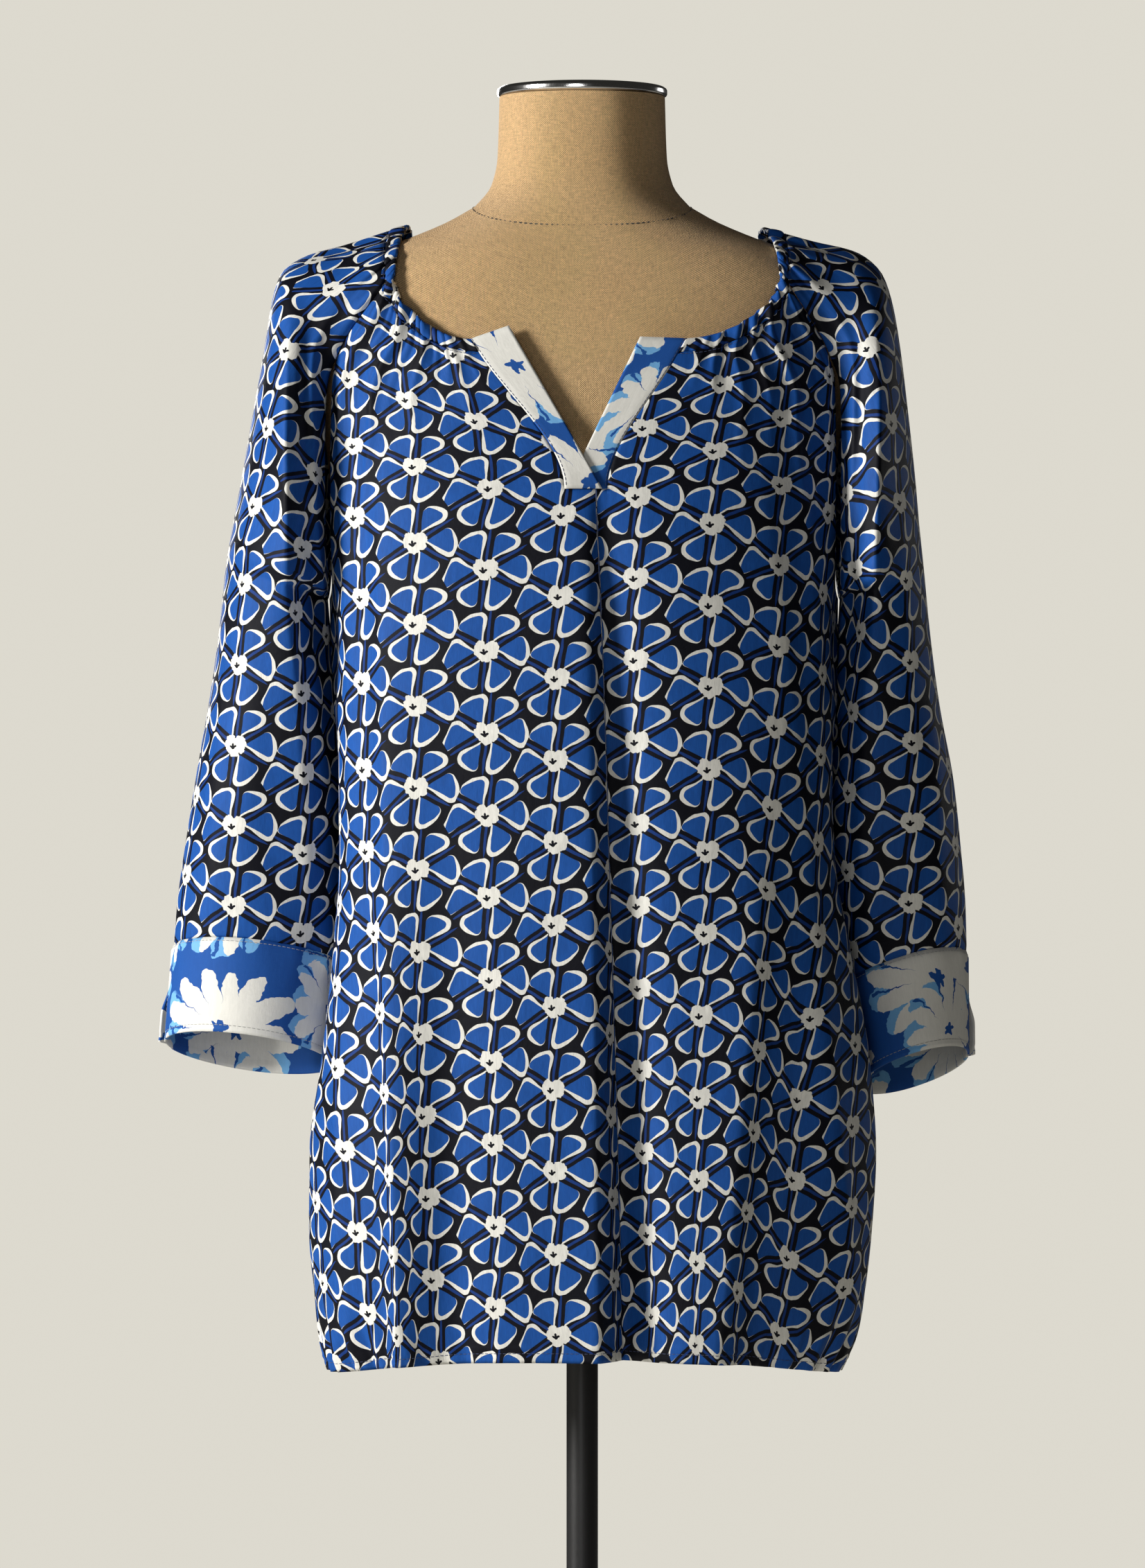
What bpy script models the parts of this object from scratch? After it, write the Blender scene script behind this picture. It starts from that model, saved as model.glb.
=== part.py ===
"""A raglan blouse on a dress form, as construction solids: metres, +Z up, its front towards -Y.

Left and right are the viewer's. The cloth is one surface, cut into panels along its seams. Round the
body it is a section at each height, read by an angle from the centre front (0) past the right side
(+90 degrees) to the centre back (180). From each raglan seam a sleeve fans out over the shoulder in
arches that turn into closed rings below the underarm. Each panel becomes a thin wall about the surface.
"""

import bisect
import math

import bmesh
import bpy
from mathutils import Vector

# ---- Driving sizes -------------------------------------------------------------------------------------
CLOTH = 0.0012
CUFF_CLOTH = 0.0016
BINDING_CLOTH = 0.0024
SEAM_GAP = 0.0003
SLEEVE_STEP = 0.0020  # between sleeve and body where they lie side by side below the armhole's bend
SLEEVE_STEP_AT = (0.19, 0.30)

UNDERARM_Z = 1.165
SLIT_Z = 1.2305  # the lower end of the V opening
NECK_FRONT_Z = 1.3170  # the neckline beside the V opening
NECK_BACK_Z = 1.372
HEM_FRONT_Z, HEM_SIDE_Z = 0.691, 0.678
BINDING_WIDE = 0.010
PLACKET_STEP = 0.0019  # how far the upper band lies above the lower one
PLACKET_STEP_Z = (1.262, 1.285)

HALF_CELLS, MIDDLE_CELLS, BACK_CELLS, ARCH_CELLS = 19, 5, 15, 20
ROWS_TO_SLIT, ROWS_TO_UNDERARM, BODY_ROWS = 6, 4, 15

CAP_RADIUS, CAP_TALL = 0.0540, 0.0060
NECK_TOP_Z = 1.4835
FORM_BOTTOM_Z = 0.752
POLE_RADIUS = 0.010
BASE_RADIUS, BASE_TALL = 0.180, 0.010
HUB_RADIUS, HUB_TALL = 0.024, 0.030


# ---- Tables --------------------------------------------------------------------------------------------
def table(names, *rows):
    """Named columns. The first one is the place that the others are read at."""
    return dict(zip(names.split(), zip(*rows)))


def slope(keys, values, k):
    if k in (0, len(keys) - 1):
        a, b = (0, 1) if k == 0 else (k - 1, k)
        return (values[b] - values[a]) / (keys[b] - keys[a])
    before = (values[k] - values[k - 1]) / (keys[k] - keys[k - 1])
    after = (values[k + 1] - values[k]) / (keys[k + 1] - keys[k])
    return 0 if before * after <= 0 else 2 * before * after / (before + after)


def read(tab, name, where):
    """A column at a place between its rows, on a smooth curve that doesn't overshoot them."""
    keys, values = next(iter(tab.values())), tab[name]
    if where <= keys[0]:
        return values[0]
    if where >= keys[-1]:
        return values[-1]
    k = bisect.bisect_right(keys, where) - 1
    gap = keys[k + 1] - keys[k]
    t = (where - keys[k]) / gap
    start, end = slope(keys, values, k) * gap, slope(keys, values, k + 1) * gap
    return (
        values[k] * (1 + 2 * t) * (1 - t) ** 2
        + start * t * (1 - t) ** 2
        + values[k + 1] * t * t * (3 - 2 * t)
        - end * t * t * (1 - t)
    )


# Half-widths to each side, depths to front and back, how far the sides cave in beside the sleeves, and
# how square the section is (2 is an ellipse).
BODY = table(
    "z left right front back hollow square",
    (0.678, 0.1575, 0.1615, 0.1210, 0.1120, 0.000, 2.8),
    (0.698, 0.1650, 0.1720, 0.1280, 0.1190, 0.001, 2.9),
    (0.722, 0.1700, 0.1790, 0.1320, 0.1240, 0.003, 3.0),
    (0.770, 0.1745, 0.1850, 0.1360, 0.1270, 0.006, 3.2),
    (0.820, 0.1750, 0.1885, 0.1375, 0.1270, 0.013, 3.3),
    (0.876, 0.1680, 0.1850, 0.1375, 0.1240, 0.018, 3.3),
    (0.950, 0.1600, 0.1715, 0.1365, 0.1190, 0.016, 3.3),
    (1.000, 0.1570, 0.1630, 0.1355, 0.1150, 0.015, 3.2),
    (1.060, 0.1570, 0.1610, 0.1340, 0.1110, 0.012, 3.2),
    (1.110, 0.1580, 0.1610, 0.1325, 0.1080, 0.007, 3.1),
    (1.165, 0.1600, 0.1620, 0.1290, 0.1050, 0.000, 2.9),
    (1.220, 0.1660, 0.1670, 0.1200, 0.1050, 0.000, 2.7),
    (1.300, 0.1760, 0.1770, 0.0975, 0.1010, 0.000, 2.45),
    (1.340, 0.1790, 0.1790, 0.0860, 0.0960, 0.000, 2.3),
    (1.367, 0.1660, 0.1660, 0.0780, 0.0900, 0.000, 2.3),
    (1.400, 0.1300, 0.1300, 0.0690, 0.0800, 0.000, 2.3),
)

# Edges of the middle group of columns: the V opening, and below it the centre pleat.
MIDDLE = table(
    "z left right",
    (0.680, -0.0090, 0.0360),
    (0.950, -0.0100, 0.0260),
    (1.165, -0.0112, 0.0180),
    (SLIT_Z, -0.0111, 0.0154),
    (NECK_FRONT_Z, -0.0647, 0.0600),
)

# Raglan seams, by how far along they are from the neckline to the underarm.
FRONT_SEAM = table(
    "at left right z",
    (0.00, 0.1231, 0.1286, 1.3630),
    (0.19, 0.1530, 0.1545, 1.3180),
    (0.26, 0.1575, 0.1590, 1.3010),
    (0.55, 0.1590, 0.1600, 1.2250),
    (0.72, 0.1585, 0.1600, 1.1850),
    (1.00, 0.1600, 0.1620, UNDERARM_Z),
)
BACK_SEAM = table(
    "at left right z",
    (0.00, 0.1150, 0.1180, 1.3860),
    (0.19, 0.1450, 0.1460, 1.3400),
    (0.26, 0.1510, 0.1520, 1.3180),
    (0.55, 0.1570, 0.1580, 1.2350),
    (0.72, 0.1580, 0.1595, 1.1900),
    (1.00, 0.1600, 0.1620, UNDERARM_Z),
)

# The sleeve's outer line: along the shoulder, then down to the cuff seam (2) and the cuff's hem (3).
# deep is how far the cloth stands to the front and back, round is the power of the arch.
OUTER = table(
    "at left left_z right right_z deep round",
    (0.00, 0.1220, 1.3975, 0.1270, 1.3960, 0.000, 1.00),
    (0.10, 0.1500, 1.3890, 0.1490, 1.3905, 0.003, 1.02),
    (0.20, 0.1760, 1.3820, 0.1735, 1.3850, 0.009, 1.08),
    (0.28, 0.1905, 1.3720, 0.1890, 1.3730, 0.016, 1.18),
    (0.35, 0.1965, 1.3530, 0.1960, 1.3540, 0.024, 1.28),
    (0.45, 0.2010, 1.3250, 0.2010, 1.3260, 0.034, 1.42),
    (0.60, 0.2075, 1.2880, 0.2055, 1.2900, 0.048, 1.62),
    (0.80, 0.2160, 1.2400, 0.2110, 1.2400, 0.059, 1.80),
    (0.90, 0.2210, 1.2130, 0.2135, 1.2110, 0.067, 1.92),
    (1.00, 0.2255, 1.1870, 0.2165, 1.1820, 0.076, 2.00),
    (1.15, 0.2290, 1.1530, 0.2200, 1.1450, 0.076, 2.00),
    (1.35, 0.2345, 1.1110, 0.2262, 1.0980, 0.073, 2.00),
    (1.55, 0.2438, 1.0570, 0.2354, 1.0480, 0.067, 2.00),
    (1.75, 0.2510, 1.0120, 0.2400, 1.0050, 0.060, 2.00),
    (1.90, 0.2562, 0.9760, 0.2429, 0.9700, 0.054, 2.00),
    (2.00, 0.2590, 0.9440, 0.2437, 0.9395, 0.048, 2.00),
    (3.00, 0.2640, 0.8840, 0.2445, 0.8760, 0.050, 2.00),
)
# The sleeve's inner line, beside the body, from the underarm to the cuff's hem. lean is how far the
# ring drops towards the back, as a slope.
INNER = table(
    "at left left_z right right_z lean",
    (1.00, 0.1620, UNDERARM_Z, 0.1640, UNDERARM_Z, 0.00),
    (1.15, 0.1590, 1.1350, 0.1615, 1.1320, -0.03),
    (1.35, 0.1530, 1.0900, 0.1560, 1.0850, -0.08),
    (1.55, 0.1490, 1.0400, 0.1540, 1.0330, -0.14),
    (1.75, 0.1480, 0.9950, 0.1560, 0.9850, -0.18),
    (1.90, 0.1500, 0.9550, 0.1620, 0.9450, -0.22),
    (2.00, 0.1520, 0.9320, 0.1660, 0.9180, -0.25),
    (3.00, 0.1590, 0.8700, 0.1765, 0.8560, -0.27),
)
TUBE_ROWS = (1.09, 1.19, 1.29, 1.39, 1.49, 1.59, 1.68, 1.77, 1.86, 1.93, 2.00)
CUFF_ROWS = (2.0, 2.3, 2.55, 2.8, 3.0)
VENT_TOP, VENT_WIDE, VENT_OUT = 2.3, 0.004, 0.004

# Upright folds: where each one starts and ends, how far it stands out there (a valley is negative), and
# how far it spreads to each side. along is a place across the panel, to the right.
FRONT_FOLDS = table(
    "along_top along_low z_top z_low out_top out_low wide_left wide_right",
    (-0.1240, -0.1100, 1.23, 0.68, 0.002, 0.0115, 0.011, 0.020),
    (-0.0870, -0.0830, 1.05, 0.68, -0.001, -0.0065, 0.018, 0.020),
    (-0.0350, -0.0400, 1.15, 0.68, 0.001, 0.0030, 0.030, 0.030),
    (0.0045, 0.0100, 1.23, 0.68, 0.002, 0.0120, 0.040, 0.009),
    (0.0110, 0.0290, 1.23, 0.68, -0.004, -0.0180, 0.009, 0.019),
    (0.0330, 0.0450, 1.04, 0.68, 0.001, 0.0055, 0.014, 0.024),
    (0.1120, 0.0800, 1.01, 0.68, 0.001, 0.0120, 0.034, 0.014),
    (0.1250, 0.1080, 1.00, 0.68, -0.001, -0.0070, 0.013, 0.020),
    (0.1160, 0.1620, 1.21, 0.78, 0.003, 0.0045, 0.014, 0.012),
)
BACK_FOLDS = table(
    "along_top along_low z_top z_low out_top out_low wide_left wide_right",
    (-0.1150, -0.1250, 1.12, 0.68, 0.002, 0.0100, 0.018, 0.020),
    (-0.0850, -0.0930, 1.16, 0.68, -0.002, -0.0080, 0.016, 0.018),
    (-0.0560, -0.0600, 1.22, 0.68, 0.002, 0.0110, 0.020, 0.014),
    (-0.0250, -0.0290, 1.12, 0.68, -0.002, -0.0070, 0.014, 0.020),
    (0.0080, 0.0030, 1.18, 0.68, 0.002, 0.0090, 0.018, 0.018),
    (0.0420, 0.0400, 1.20, 0.68, -0.002, -0.0090, 0.018, 0.014),
    (0.0740, 0.0760, 1.16, 0.68, 0.003, 0.0110, 0.016, 0.022),
    (0.1120, 0.1180, 1.10, 0.68, -0.002, -0.0060, 0.018, 0.016),
)
# Gathers below the neckline, from the raglan seam (0) to the opening or the centre back (1).
FRONT_GATHERS = table(
    "at length out wide",
    (0.10, 0.100, 0.0030, 0.050),
    (0.21, 0.070, -0.0022, 0.045),
    (0.31, 0.115, 0.0028, 0.050),
    (0.43, 0.060, -0.0018, 0.050),
    (0.53, 0.080, 0.0022, 0.050),
    (0.66, 0.045, -0.0014, 0.055),
    (0.77, 0.055, 0.0014, 0.055),
)
BACK_GATHERS = table(
    "at length out wide",
    (0.08, 0.085, 0.0026, 0.045),
    (0.19, 0.060, -0.0018, 0.045),
    (0.30, 0.100, 0.0024, 0.050),
    (0.43, 0.060, -0.0016, 0.050),
    (0.56, 0.075, 0.0018, 0.055),
    (0.74, 0.050, 0.0014, 0.060),
)
# Along the sleeve, by the turn round it (0 at the seam or body side, a quarter at the front).
SLEEVE_FOLDS = table(
    "turn_top turn_low from_at to_at out wide",
    (0.235, 0.130, 0.30, 2.00, 0.0040, 0.040),
    (0.330, 0.220, 0.45, 1.95, -0.0030, 0.045),
    (0.140, 0.070, 0.15, 1.60, -0.0030, 0.040),
    (0.420, 0.330, 1.00, 2.00, 0.0025, 0.045),
    (0.640, 0.700, 0.70, 2.00, -0.0035, 0.050),
    (0.740, 0.800, 0.50, 2.00, 0.0040, 0.045),
)
SLEEVE_GATHERS = 6  # ridges of the sleeve head across its neckline
SLEEVE_GATHER_OUT = 0.0016
HEM_PUCKER_OUT, HEM_PUCKERS, HEM_PUCKER_TALL = 0.0028, 34, 0.055

FORM = table(
    "z wide front back",
    (FORM_BOTTOM_Z, 0.1260, 0.0860, 0.0960),
    (0.757, 0.1370, 0.0940, 0.1050),
    (0.775, 0.1450, 0.0985, 0.1100),
    (0.820, 0.1485, 0.1000, 0.1130),
    (0.870, 0.1470, 0.0985, 0.1110),
    (0.940, 0.1380, 0.0930, 0.0990),
    (1.020, 0.1240, 0.0880, 0.0830),
    (1.080, 0.1330, 0.1030, 0.0860),
    (1.130, 0.1470, 0.1180, 0.0930),
    (1.165, 0.1540, 0.1220, 0.0970),
    (1.215, 0.1580, 0.1130, 0.0980),
    (1.260, 0.1625, 0.1015, 0.0975),
    (1.300, 0.1690, 0.0910, 0.0945),
    (1.335, 0.1745, 0.0820, 0.0900),
    (1.357, 0.1725, 0.0760, 0.0855),
    (1.372, 0.1590, 0.0712, 0.0808),
    (1.384, 0.1365, 0.0670, 0.0755),
    (1.395, 0.1070, 0.0625, 0.0700),
    (1.406, 0.0820, 0.0595, 0.0660),
    (1.417, 0.0655, 0.0562, 0.0615),
    (1.428, 0.0575, 0.0535, 0.0575),
    (1.445, 0.0538, 0.0520, 0.0545),
    (NECK_TOP_Z, 0.0525, 0.0512, 0.0532),
)
FORM_SQUARE = 2.2
FORM_CELLS = 26


# ---- The surface ---------------------------------------------------------------------------------------
def mix(a, b, t):
    return a + (b - a) * t


def ease(t):
    t = min(max(t, 0.0), 1.0)
    return t * t * (3 - 2 * t)


def hump(away, wide):
    return math.exp(-((away / wide) ** 2))


def power(value, exponent):
    return math.copysign(abs(value) ** exponent, value)


def fold_out(folds, along, z):
    """How far the upright folds of a panel stand out at a place on it."""
    total = 0.0
    for k in range(len(folds["z_top"])):
        top, low = folds["z_top"][k], folds["z_low"][k]
        down = (top - z) / (top - low)
        if down <= -0.1:
            continue
        away = along - mix(folds["along_top"][k], folds["along_low"][k], down)
        wide = folds["wide_left"][k] if away < 0 else folds["wide_right"][k]
        out = mix(folds["out_top"][k], folds["out_low"][k], max(down, 0))
        total += out * hump(away, wide) * ease((down + 0.1) / 0.25) * ease((1.35 - down) / 0.3)
    return total


def hem_z(angle):
    return mix(HEM_SIDE_Z, HEM_FRONT_Z, math.cos(angle) ** 2)


def half_width(side, z):
    return read(BODY, "left" if side < 0 else "right", z)


def body_point(angle, z):
    """The cloth round the body, with its upright folds and the puckers above the elastic hem."""
    side, front = math.sin(angle), math.cos(angle)
    exponent = 2 / read(BODY, "square", z)
    wide, deep = half_width(side, z), read(BODY, "front" if front > 0 else "back", z)
    x, y = wide * power(side, exponent), -deep * power(front, exponent)
    out = fold_out(FRONT_FOLDS if front > 0 else BACK_FOLDS, x, z) * ease(2.4 * abs(front) - 0.3)
    above_hem = z - hem_z(angle)
    pucker = ease(1 - above_hem / HEM_PUCKER_TALL) * ease(1.6 * abs(side) - 0.4)
    out += HEM_PUCKER_OUT * math.cos(HEM_PUCKERS * angle) * pucker
    away = Vector((x / wide**2, y / deep**2, 0)).normalized()
    cave = read(BODY, "hollow", z) * hump(y - 0.008, 0.045)
    return Vector((x - math.copysign(cave, x) * abs(side), y, z)) + away * out


def angle_at(x, z, back=False):
    """The angle whose plain section lies at x."""
    turn = math.asin(min(abs(x) / half_width(x, z), 1.0) ** (read(BODY, "square", z) / 2))
    return math.copysign(math.pi - turn if back else turn, x)


def name_of(side):
    return "left" if side < 0 else "right"


def seam_place(seam, side, at):
    """The angle and height of a raglan seam."""
    z = read(seam, "z", at)
    if at >= 1:
        return math.copysign(math.pi / 2, side), z
    return angle_at(side * read(seam, name_of(side), at), z, back=seam is BACK_SEAM), z


def gather_out(gathers, at, below):
    total = 0.0
    for k in range(len(gathers["at"])):
        fade = ease(1 - below / gathers["length"][k])
        total += gathers["out"][k] * hump(at - gathers["at"][k], gathers["wide"][k]) * fade
    return total


def outwards(angle):
    return Vector((math.sin(angle), -math.cos(angle), 0))


def yoke_row(seam, gathers, side, at, centre_angle, centre_z, cells):
    """Points from a raglan seam (0) to the centre of the front or back (1), above the underarm."""
    start, seam_z = seam_place(seam, side, at)
    if seam is BACK_SEAM and side < 0:
        centre_angle = -centre_angle
    row = []
    for j in range(cells + 1):
        t = j / cells
        angle = mix(start, centre_angle, t)
        z = centre_z + (seam_z - centre_z) * (1 - t) ** 2
        below = at * (NECK_FRONT_Z - UNDERARM_Z)
        lift = gather_out(gathers, t, below) * ease(t / 0.06)
        row.append(body_point(angle, z) + outwards(angle) * lift)
    return row


def front_rows():
    rows = []
    for at in YOKE_AT:
        z = mix(NECK_FRONT_Z, UNDERARM_Z, at)
        left, right = (angle_at(read(MIDDLE, name, z), z) for name in ("left", "right"))
        row = yoke_row(FRONT_SEAM, FRONT_GATHERS, -1, at, left, z, HALF_CELLS)
        row += [body_point(mix(left, right, j / MIDDLE_CELLS), z) for j in range(1, MIDDLE_CELLS)]
        row += yoke_row(FRONT_SEAM, FRONT_GATHERS, 1, at, right, z, HALF_CELLS)[::-1]
        rows.append(row)
    for i in range(1, BODY_ROWS + 1):
        level = mix(UNDERARM_Z, HEM_FRONT_Z, i / BODY_ROWS)
        left, right = (angle_at(read(MIDDLE, name, level), level) for name in ("left", "right"))
        angles = [mix(-math.pi / 2, left, j / HALF_CELLS) for j in range(HALF_CELLS)]
        angles += [mix(left, right, j / MIDDLE_CELLS) for j in range(MIDDLE_CELLS)]
        angles += [mix(right, math.pi / 2, j / HALF_CELLS) for j in range(HALF_CELLS + 1)]
        rows.append([body_point(a, mix(UNDERARM_Z, hem_z(a), i / BODY_ROWS)) for a in angles])
    return rows


def back_rows():
    rows = []
    for at in YOKE_AT:
        z = mix(NECK_BACK_Z, UNDERARM_Z, at)
        row = yoke_row(BACK_SEAM, BACK_GATHERS, 1, at, math.pi, z, BACK_CELLS)
        row += yoke_row(BACK_SEAM, BACK_GATHERS, -1, at, math.pi, z, BACK_CELLS)[-2::-1]
        rows.append(row)
    cells = 2 * BACK_CELLS
    for i in range(1, BODY_ROWS + 1):
        angles = [mix(math.pi / 2, 3 * math.pi / 2, j / cells) for j in range(cells + 1)]
        rows.append([body_point(a, mix(UNDERARM_Z, hem_z(a), i / BODY_ROWS)) for a in angles])
    return rows


def sleeve_point(side, at, turn):
    """A point of the sleeve: at is 0 at the neck, 1 at the underarm, 2 at the cuff seam and 3 at the
    cuff's hem. turn goes from the front seam (0) over the outer line (0.5) to the back one (1)."""
    arch, name = math.pi * turn, name_of(side)
    outer = Vector((side * read(OUTER, name, at), 0.002, read(OUTER, name + "_z", at)))
    if at <= 1:
        start, end = SLEEVE_STEP_AT
        step = Vector((side * SLEEVE_STEP * ease((at - start) / (end - start)), 0, 0))
        front, back = (body_point(*seam_place(seam, side, at)) + step for seam in (FRONT_SEAM, BACK_SEAM))
    else:
        front = back = Vector((side * read(INNER, name, at), 0, read(INNER, name + "_z", at)))
    middle, half = (front + back) / 2, (front - back) / 2
    over = abs(math.sin(arch)) ** read(OUTER, "round", at)
    across = read(OUTER, "deep", at) * math.sin(2 * arch)
    lean = read(INNER, "lean", at) if at > 1 else 0
    point = middle + (outer - middle) * over + half * math.cos(arch)
    point += Vector((0, -across, -across * lean))
    return point + (point - mix(middle, outer, 0.5)).normalized() * sleeve_out(at, turn)


def sleeve_out(at, turn):
    total = 0.0
    for k in range(len(SLEEVE_FOLDS["out"])):
        start, end = SLEEVE_FOLDS["from_at"][k], SLEEVE_FOLDS["to_at"][k]
        t = (at - start) / (end - start)
        away = turn - mix(SLEEVE_FOLDS["turn_top"][k], SLEEVE_FOLDS["turn_low"][k], t)
        fade = ease(5 * t) * ease(8 * (1 - t))
        total += SLEEVE_FOLDS["out"][k] * hump(away, SLEEVE_FOLDS["wide"][k]) * fade
    seams = ease(turn / 0.08) * ease((1 - turn) / 0.08)
    gathers = SLEEVE_GATHER_OUT * math.cos(2 * math.pi * SLEEVE_GATHERS * turn)
    return (total + gathers * ease(1 - at / 0.3)) * (seams if at <= 1 else 1)


def sleeve_rows(side):
    turns = [j / ARCH_CELLS for j in range(ARCH_CELLS + 1)][::side]
    return [[sleeve_point(side, at, turn) for turn in turns] for at in YOKE_AT + TUBE_ROWS]


def cuff_rows(side):
    """Rings from the back edge of the vent, round past the body, to its front edge."""
    rows = []
    for at in CUFF_ROWS:
        row = [sleeve_point(side, at, (0.5 + j / ARCH_CELLS) % 1) for j in range(ARCH_CELLS + 1)]
        open_by = ease((at - VENT_TOP) / (3 - VENT_TOP) * 2)
        row[0] += Vector((side * VENT_OUT, VENT_WIDE / 2, 0)) * open_by
        row[-1] += Vector((0, -VENT_WIDE / 2, 0)) * open_by
        rows.append(row[::side])
    return rows


YOKE_AT = tuple(
    [(NECK_FRONT_Z - SLIT_Z) / (NECK_FRONT_Z - UNDERARM_Z) * i / ROWS_TO_SLIT for i in range(ROWS_TO_SLIT)]
    + [
        mix((NECK_FRONT_Z - SLIT_Z) / (NECK_FRONT_Z - UNDERARM_Z), 1, i / ROWS_TO_UNDERARM)
        for i in range(ROWS_TO_UNDERARM + 1)
    ]
)


def beyond(first, second):
    """A point past the first of two, where the binding ends."""
    return first + (first - second).normalized() * BINDING_WIDE


def binding_rows(front, back, left, right):
    """From the right edge of the V opening round the neck to its left edge."""
    cut = HALF_CELLS + MIDDLE_CELLS
    ends = []
    for i in (0, 1):
        ends.append(front[i][cut:] + right[i][1:] + back[i][1:] + left[i][1:] + front[i][1 : HALF_CELLS + 1])
    return [[beyond(a, b) for a, b in zip(*ends)], ends[0]]


# Inner edges of the two bands, from the top of the V opening to its foot.
PLACKETS = {
    -1: ((-0.0457, 1.3333), (0.0122, SLIT_Z)),
    1: ((0.0358, 1.3262), (-0.0096, SLIT_Z)),
}


def placket_rows(side, front):
    """A band from its sewn edge, which is the panel's, to its free edge."""
    column = HALF_CELLS if side < 0 else HALF_CELLS + MIDDLE_CELLS
    sewn = [front[i][column] for i in range(ROWS_TO_SLIT + 1)]
    sewn.insert(0, beyond(*sewn[:2]))
    (top_x, top_z), (low_x, low_z) = PLACKETS[side]
    rows = []
    for i, edge in enumerate(sewn):
        t = i / (ROWS_TO_SLIT + 1)
        x, z = mix(top_x, low_x, t), mix(top_z, low_z, t)
        free = body_point(angle_at(x, z), z)
        row = [edge, (edge + free) / 2, free]
        if side < 0:
            low, high = PLACKET_STEP_Z
            lift = PLACKET_STEP * ease((high - z) / (high - low))
            row = [point + Vector((0, -lift, 0)) for point in row]
        rows.append(row if side < 0 else row[::-1])
    return rows


# ---- Walls ---------------------------------------------------------------------------------------------
def key(point):
    return tuple(round(c * 1e5) for c in point)


def faces_of(rows, skip=lambda i, j: False):
    """Faces down the rows and to the right, seen from outside, without repeated corners."""
    faces = []
    for i in range(len(rows) - 1):
        for j in range(len(rows[i]) - 1):
            if skip(i, j):
                continue
            corners = (rows[i][j], rows[i + 1][j], rows[i + 1][j + 1], rows[i][j + 1])
            face = list({key(p): p for p in corners}.values())
            if len(face) > 2:
                faces.append(face)
    return faces


def face_normal(face):
    if len(face) == 4:
        return (face[2] - face[0]).cross(face[3] - face[1])
    return (face[1] - face[0]).cross(face[2] - face[0])


def joined_normals(patches):
    """The outward direction at each point, halfway between those of the panels that meet there."""
    joined = {}
    for faces in patches:
        normals = {}
        for face in faces:
            for point in face:
                normals[key(point)] = normals.get(key(point), Vector()) + face_normal(face)
        for k, normal in normals.items():
            joined[k] = joined.get(k, Vector()) + normal.normalized()
    return {k: normal.normalized() for k, normal in joined.items()}


def make_wall(name, faces, normals, thick, material):
    """A closed wall about a panel, drawn in from its edges by half a seam's gap."""
    places, order, edges = {}, [], {}
    for face in faces:
        for point in face:
            if key(point) not in places:
                places[key(point)] = len(order)
                order.append(point)
    corners = [[places[key(p)] for p in face] for face in faces]
    for face in corners:
        for a, b in zip(face, face[1:] + face[:1]):
            edges[(a, b)] = edges.get((a, b), 0) + 1
    rim = [(a, b) for a, b in edges if (b, a) not in edges]
    inward = {}
    for a, b in rim:
        along = (order[b] - order[a]).normalized()
        for v in (a, b):
            inward[v] = inward.get(v, Vector()) + normals[key(order[v])].cross(along)
    shifted = [p.copy() for p in order]
    for v, direction in inward.items():
        shifted[v] += direction.normalized() * (SEAM_GAP / 2)
    mesh = bmesh.new()
    outer = [mesh.verts.new(p + normals[key(q)] * thick / 2) for p, q in zip(shifted, order)]
    inner = [mesh.verts.new(p - normals[key(q)] * thick / 2) for p, q in zip(shifted, order)]
    for face in corners:
        mesh.faces.new([outer[v] for v in face])
        mesh.faces.new([inner[v] for v in reversed(face)])
    for a, b in rim:
        mesh.faces.new((outer[b], outer[a], inner[a], inner[b]))
    return add_object(name, mesh, material)


def add_object(name, mesh, material):
    bmesh.ops.triangulate(mesh, faces=mesh.faces[:])
    bmesh.ops.recalc_face_normals(mesh, faces=mesh.faces[:])
    data = bpy.data.meshes.new(name)
    mesh.to_mesh(data)
    mesh.free()
    data.materials.append(material)
    data.shade_smooth()
    data.set_sharp_from_angle(angle=math.radians(40))
    made = bpy.data.objects.new(name, data)
    bpy.context.scene.collection.objects.link(made)
    return made


def make_material(name, colour, roughness, metallic=0.0):
    material = bpy.data.materials.new(name)
    material.use_nodes = True
    shader = material.node_tree.nodes["Principled BSDF"]
    shader.inputs["Base Color"].default_value = (*colour, 1)
    shader.inputs["Roughness"].default_value = roughness
    shader.inputs["Metallic"].default_value = metallic
    return material


def make_blouse():
    print_cloth = make_material("print_cloth", (0.045, 0.095, 0.36), 0.6)
    contrast_cloth = make_material("contrast_cloth", (0.55, 0.62, 0.78), 0.65)
    front, back = front_rows(), back_rows()
    sleeves = {side: sleeve_rows(side) for side in (-1, 1)}
    binding = binding_rows(front, back, sleeves[-1], sleeves[1])

    def in_opening(i, j):
        return i < ROWS_TO_SLIT and HALF_CELLS <= j < HALF_CELLS + MIDDLE_CELLS

    parts = [
        ("front", faces_of(front, in_opening), CLOTH, print_cloth),
        ("back", faces_of(back), CLOTH, print_cloth),
        ("neck_binding", faces_of(binding), BINDING_CLOTH, print_cloth),
    ]
    for side in (-1, 1):
        parts += [
            (f"sleeve_{name_of(side)}", faces_of(sleeves[side]), CLOTH, print_cloth),
            (f"cuff_{name_of(side)}", faces_of(cuff_rows(side)), CUFF_CLOTH, contrast_cloth),
            (f"placket_{name_of(side)}", faces_of(placket_rows(side, front)), CLOTH, contrast_cloth),
        ]
    normals = joined_normals([faces for _, faces, _, _ in parts])
    for name, faces, thick, material in parts:
        make_wall(name, faces, normals, thick, material)


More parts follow.
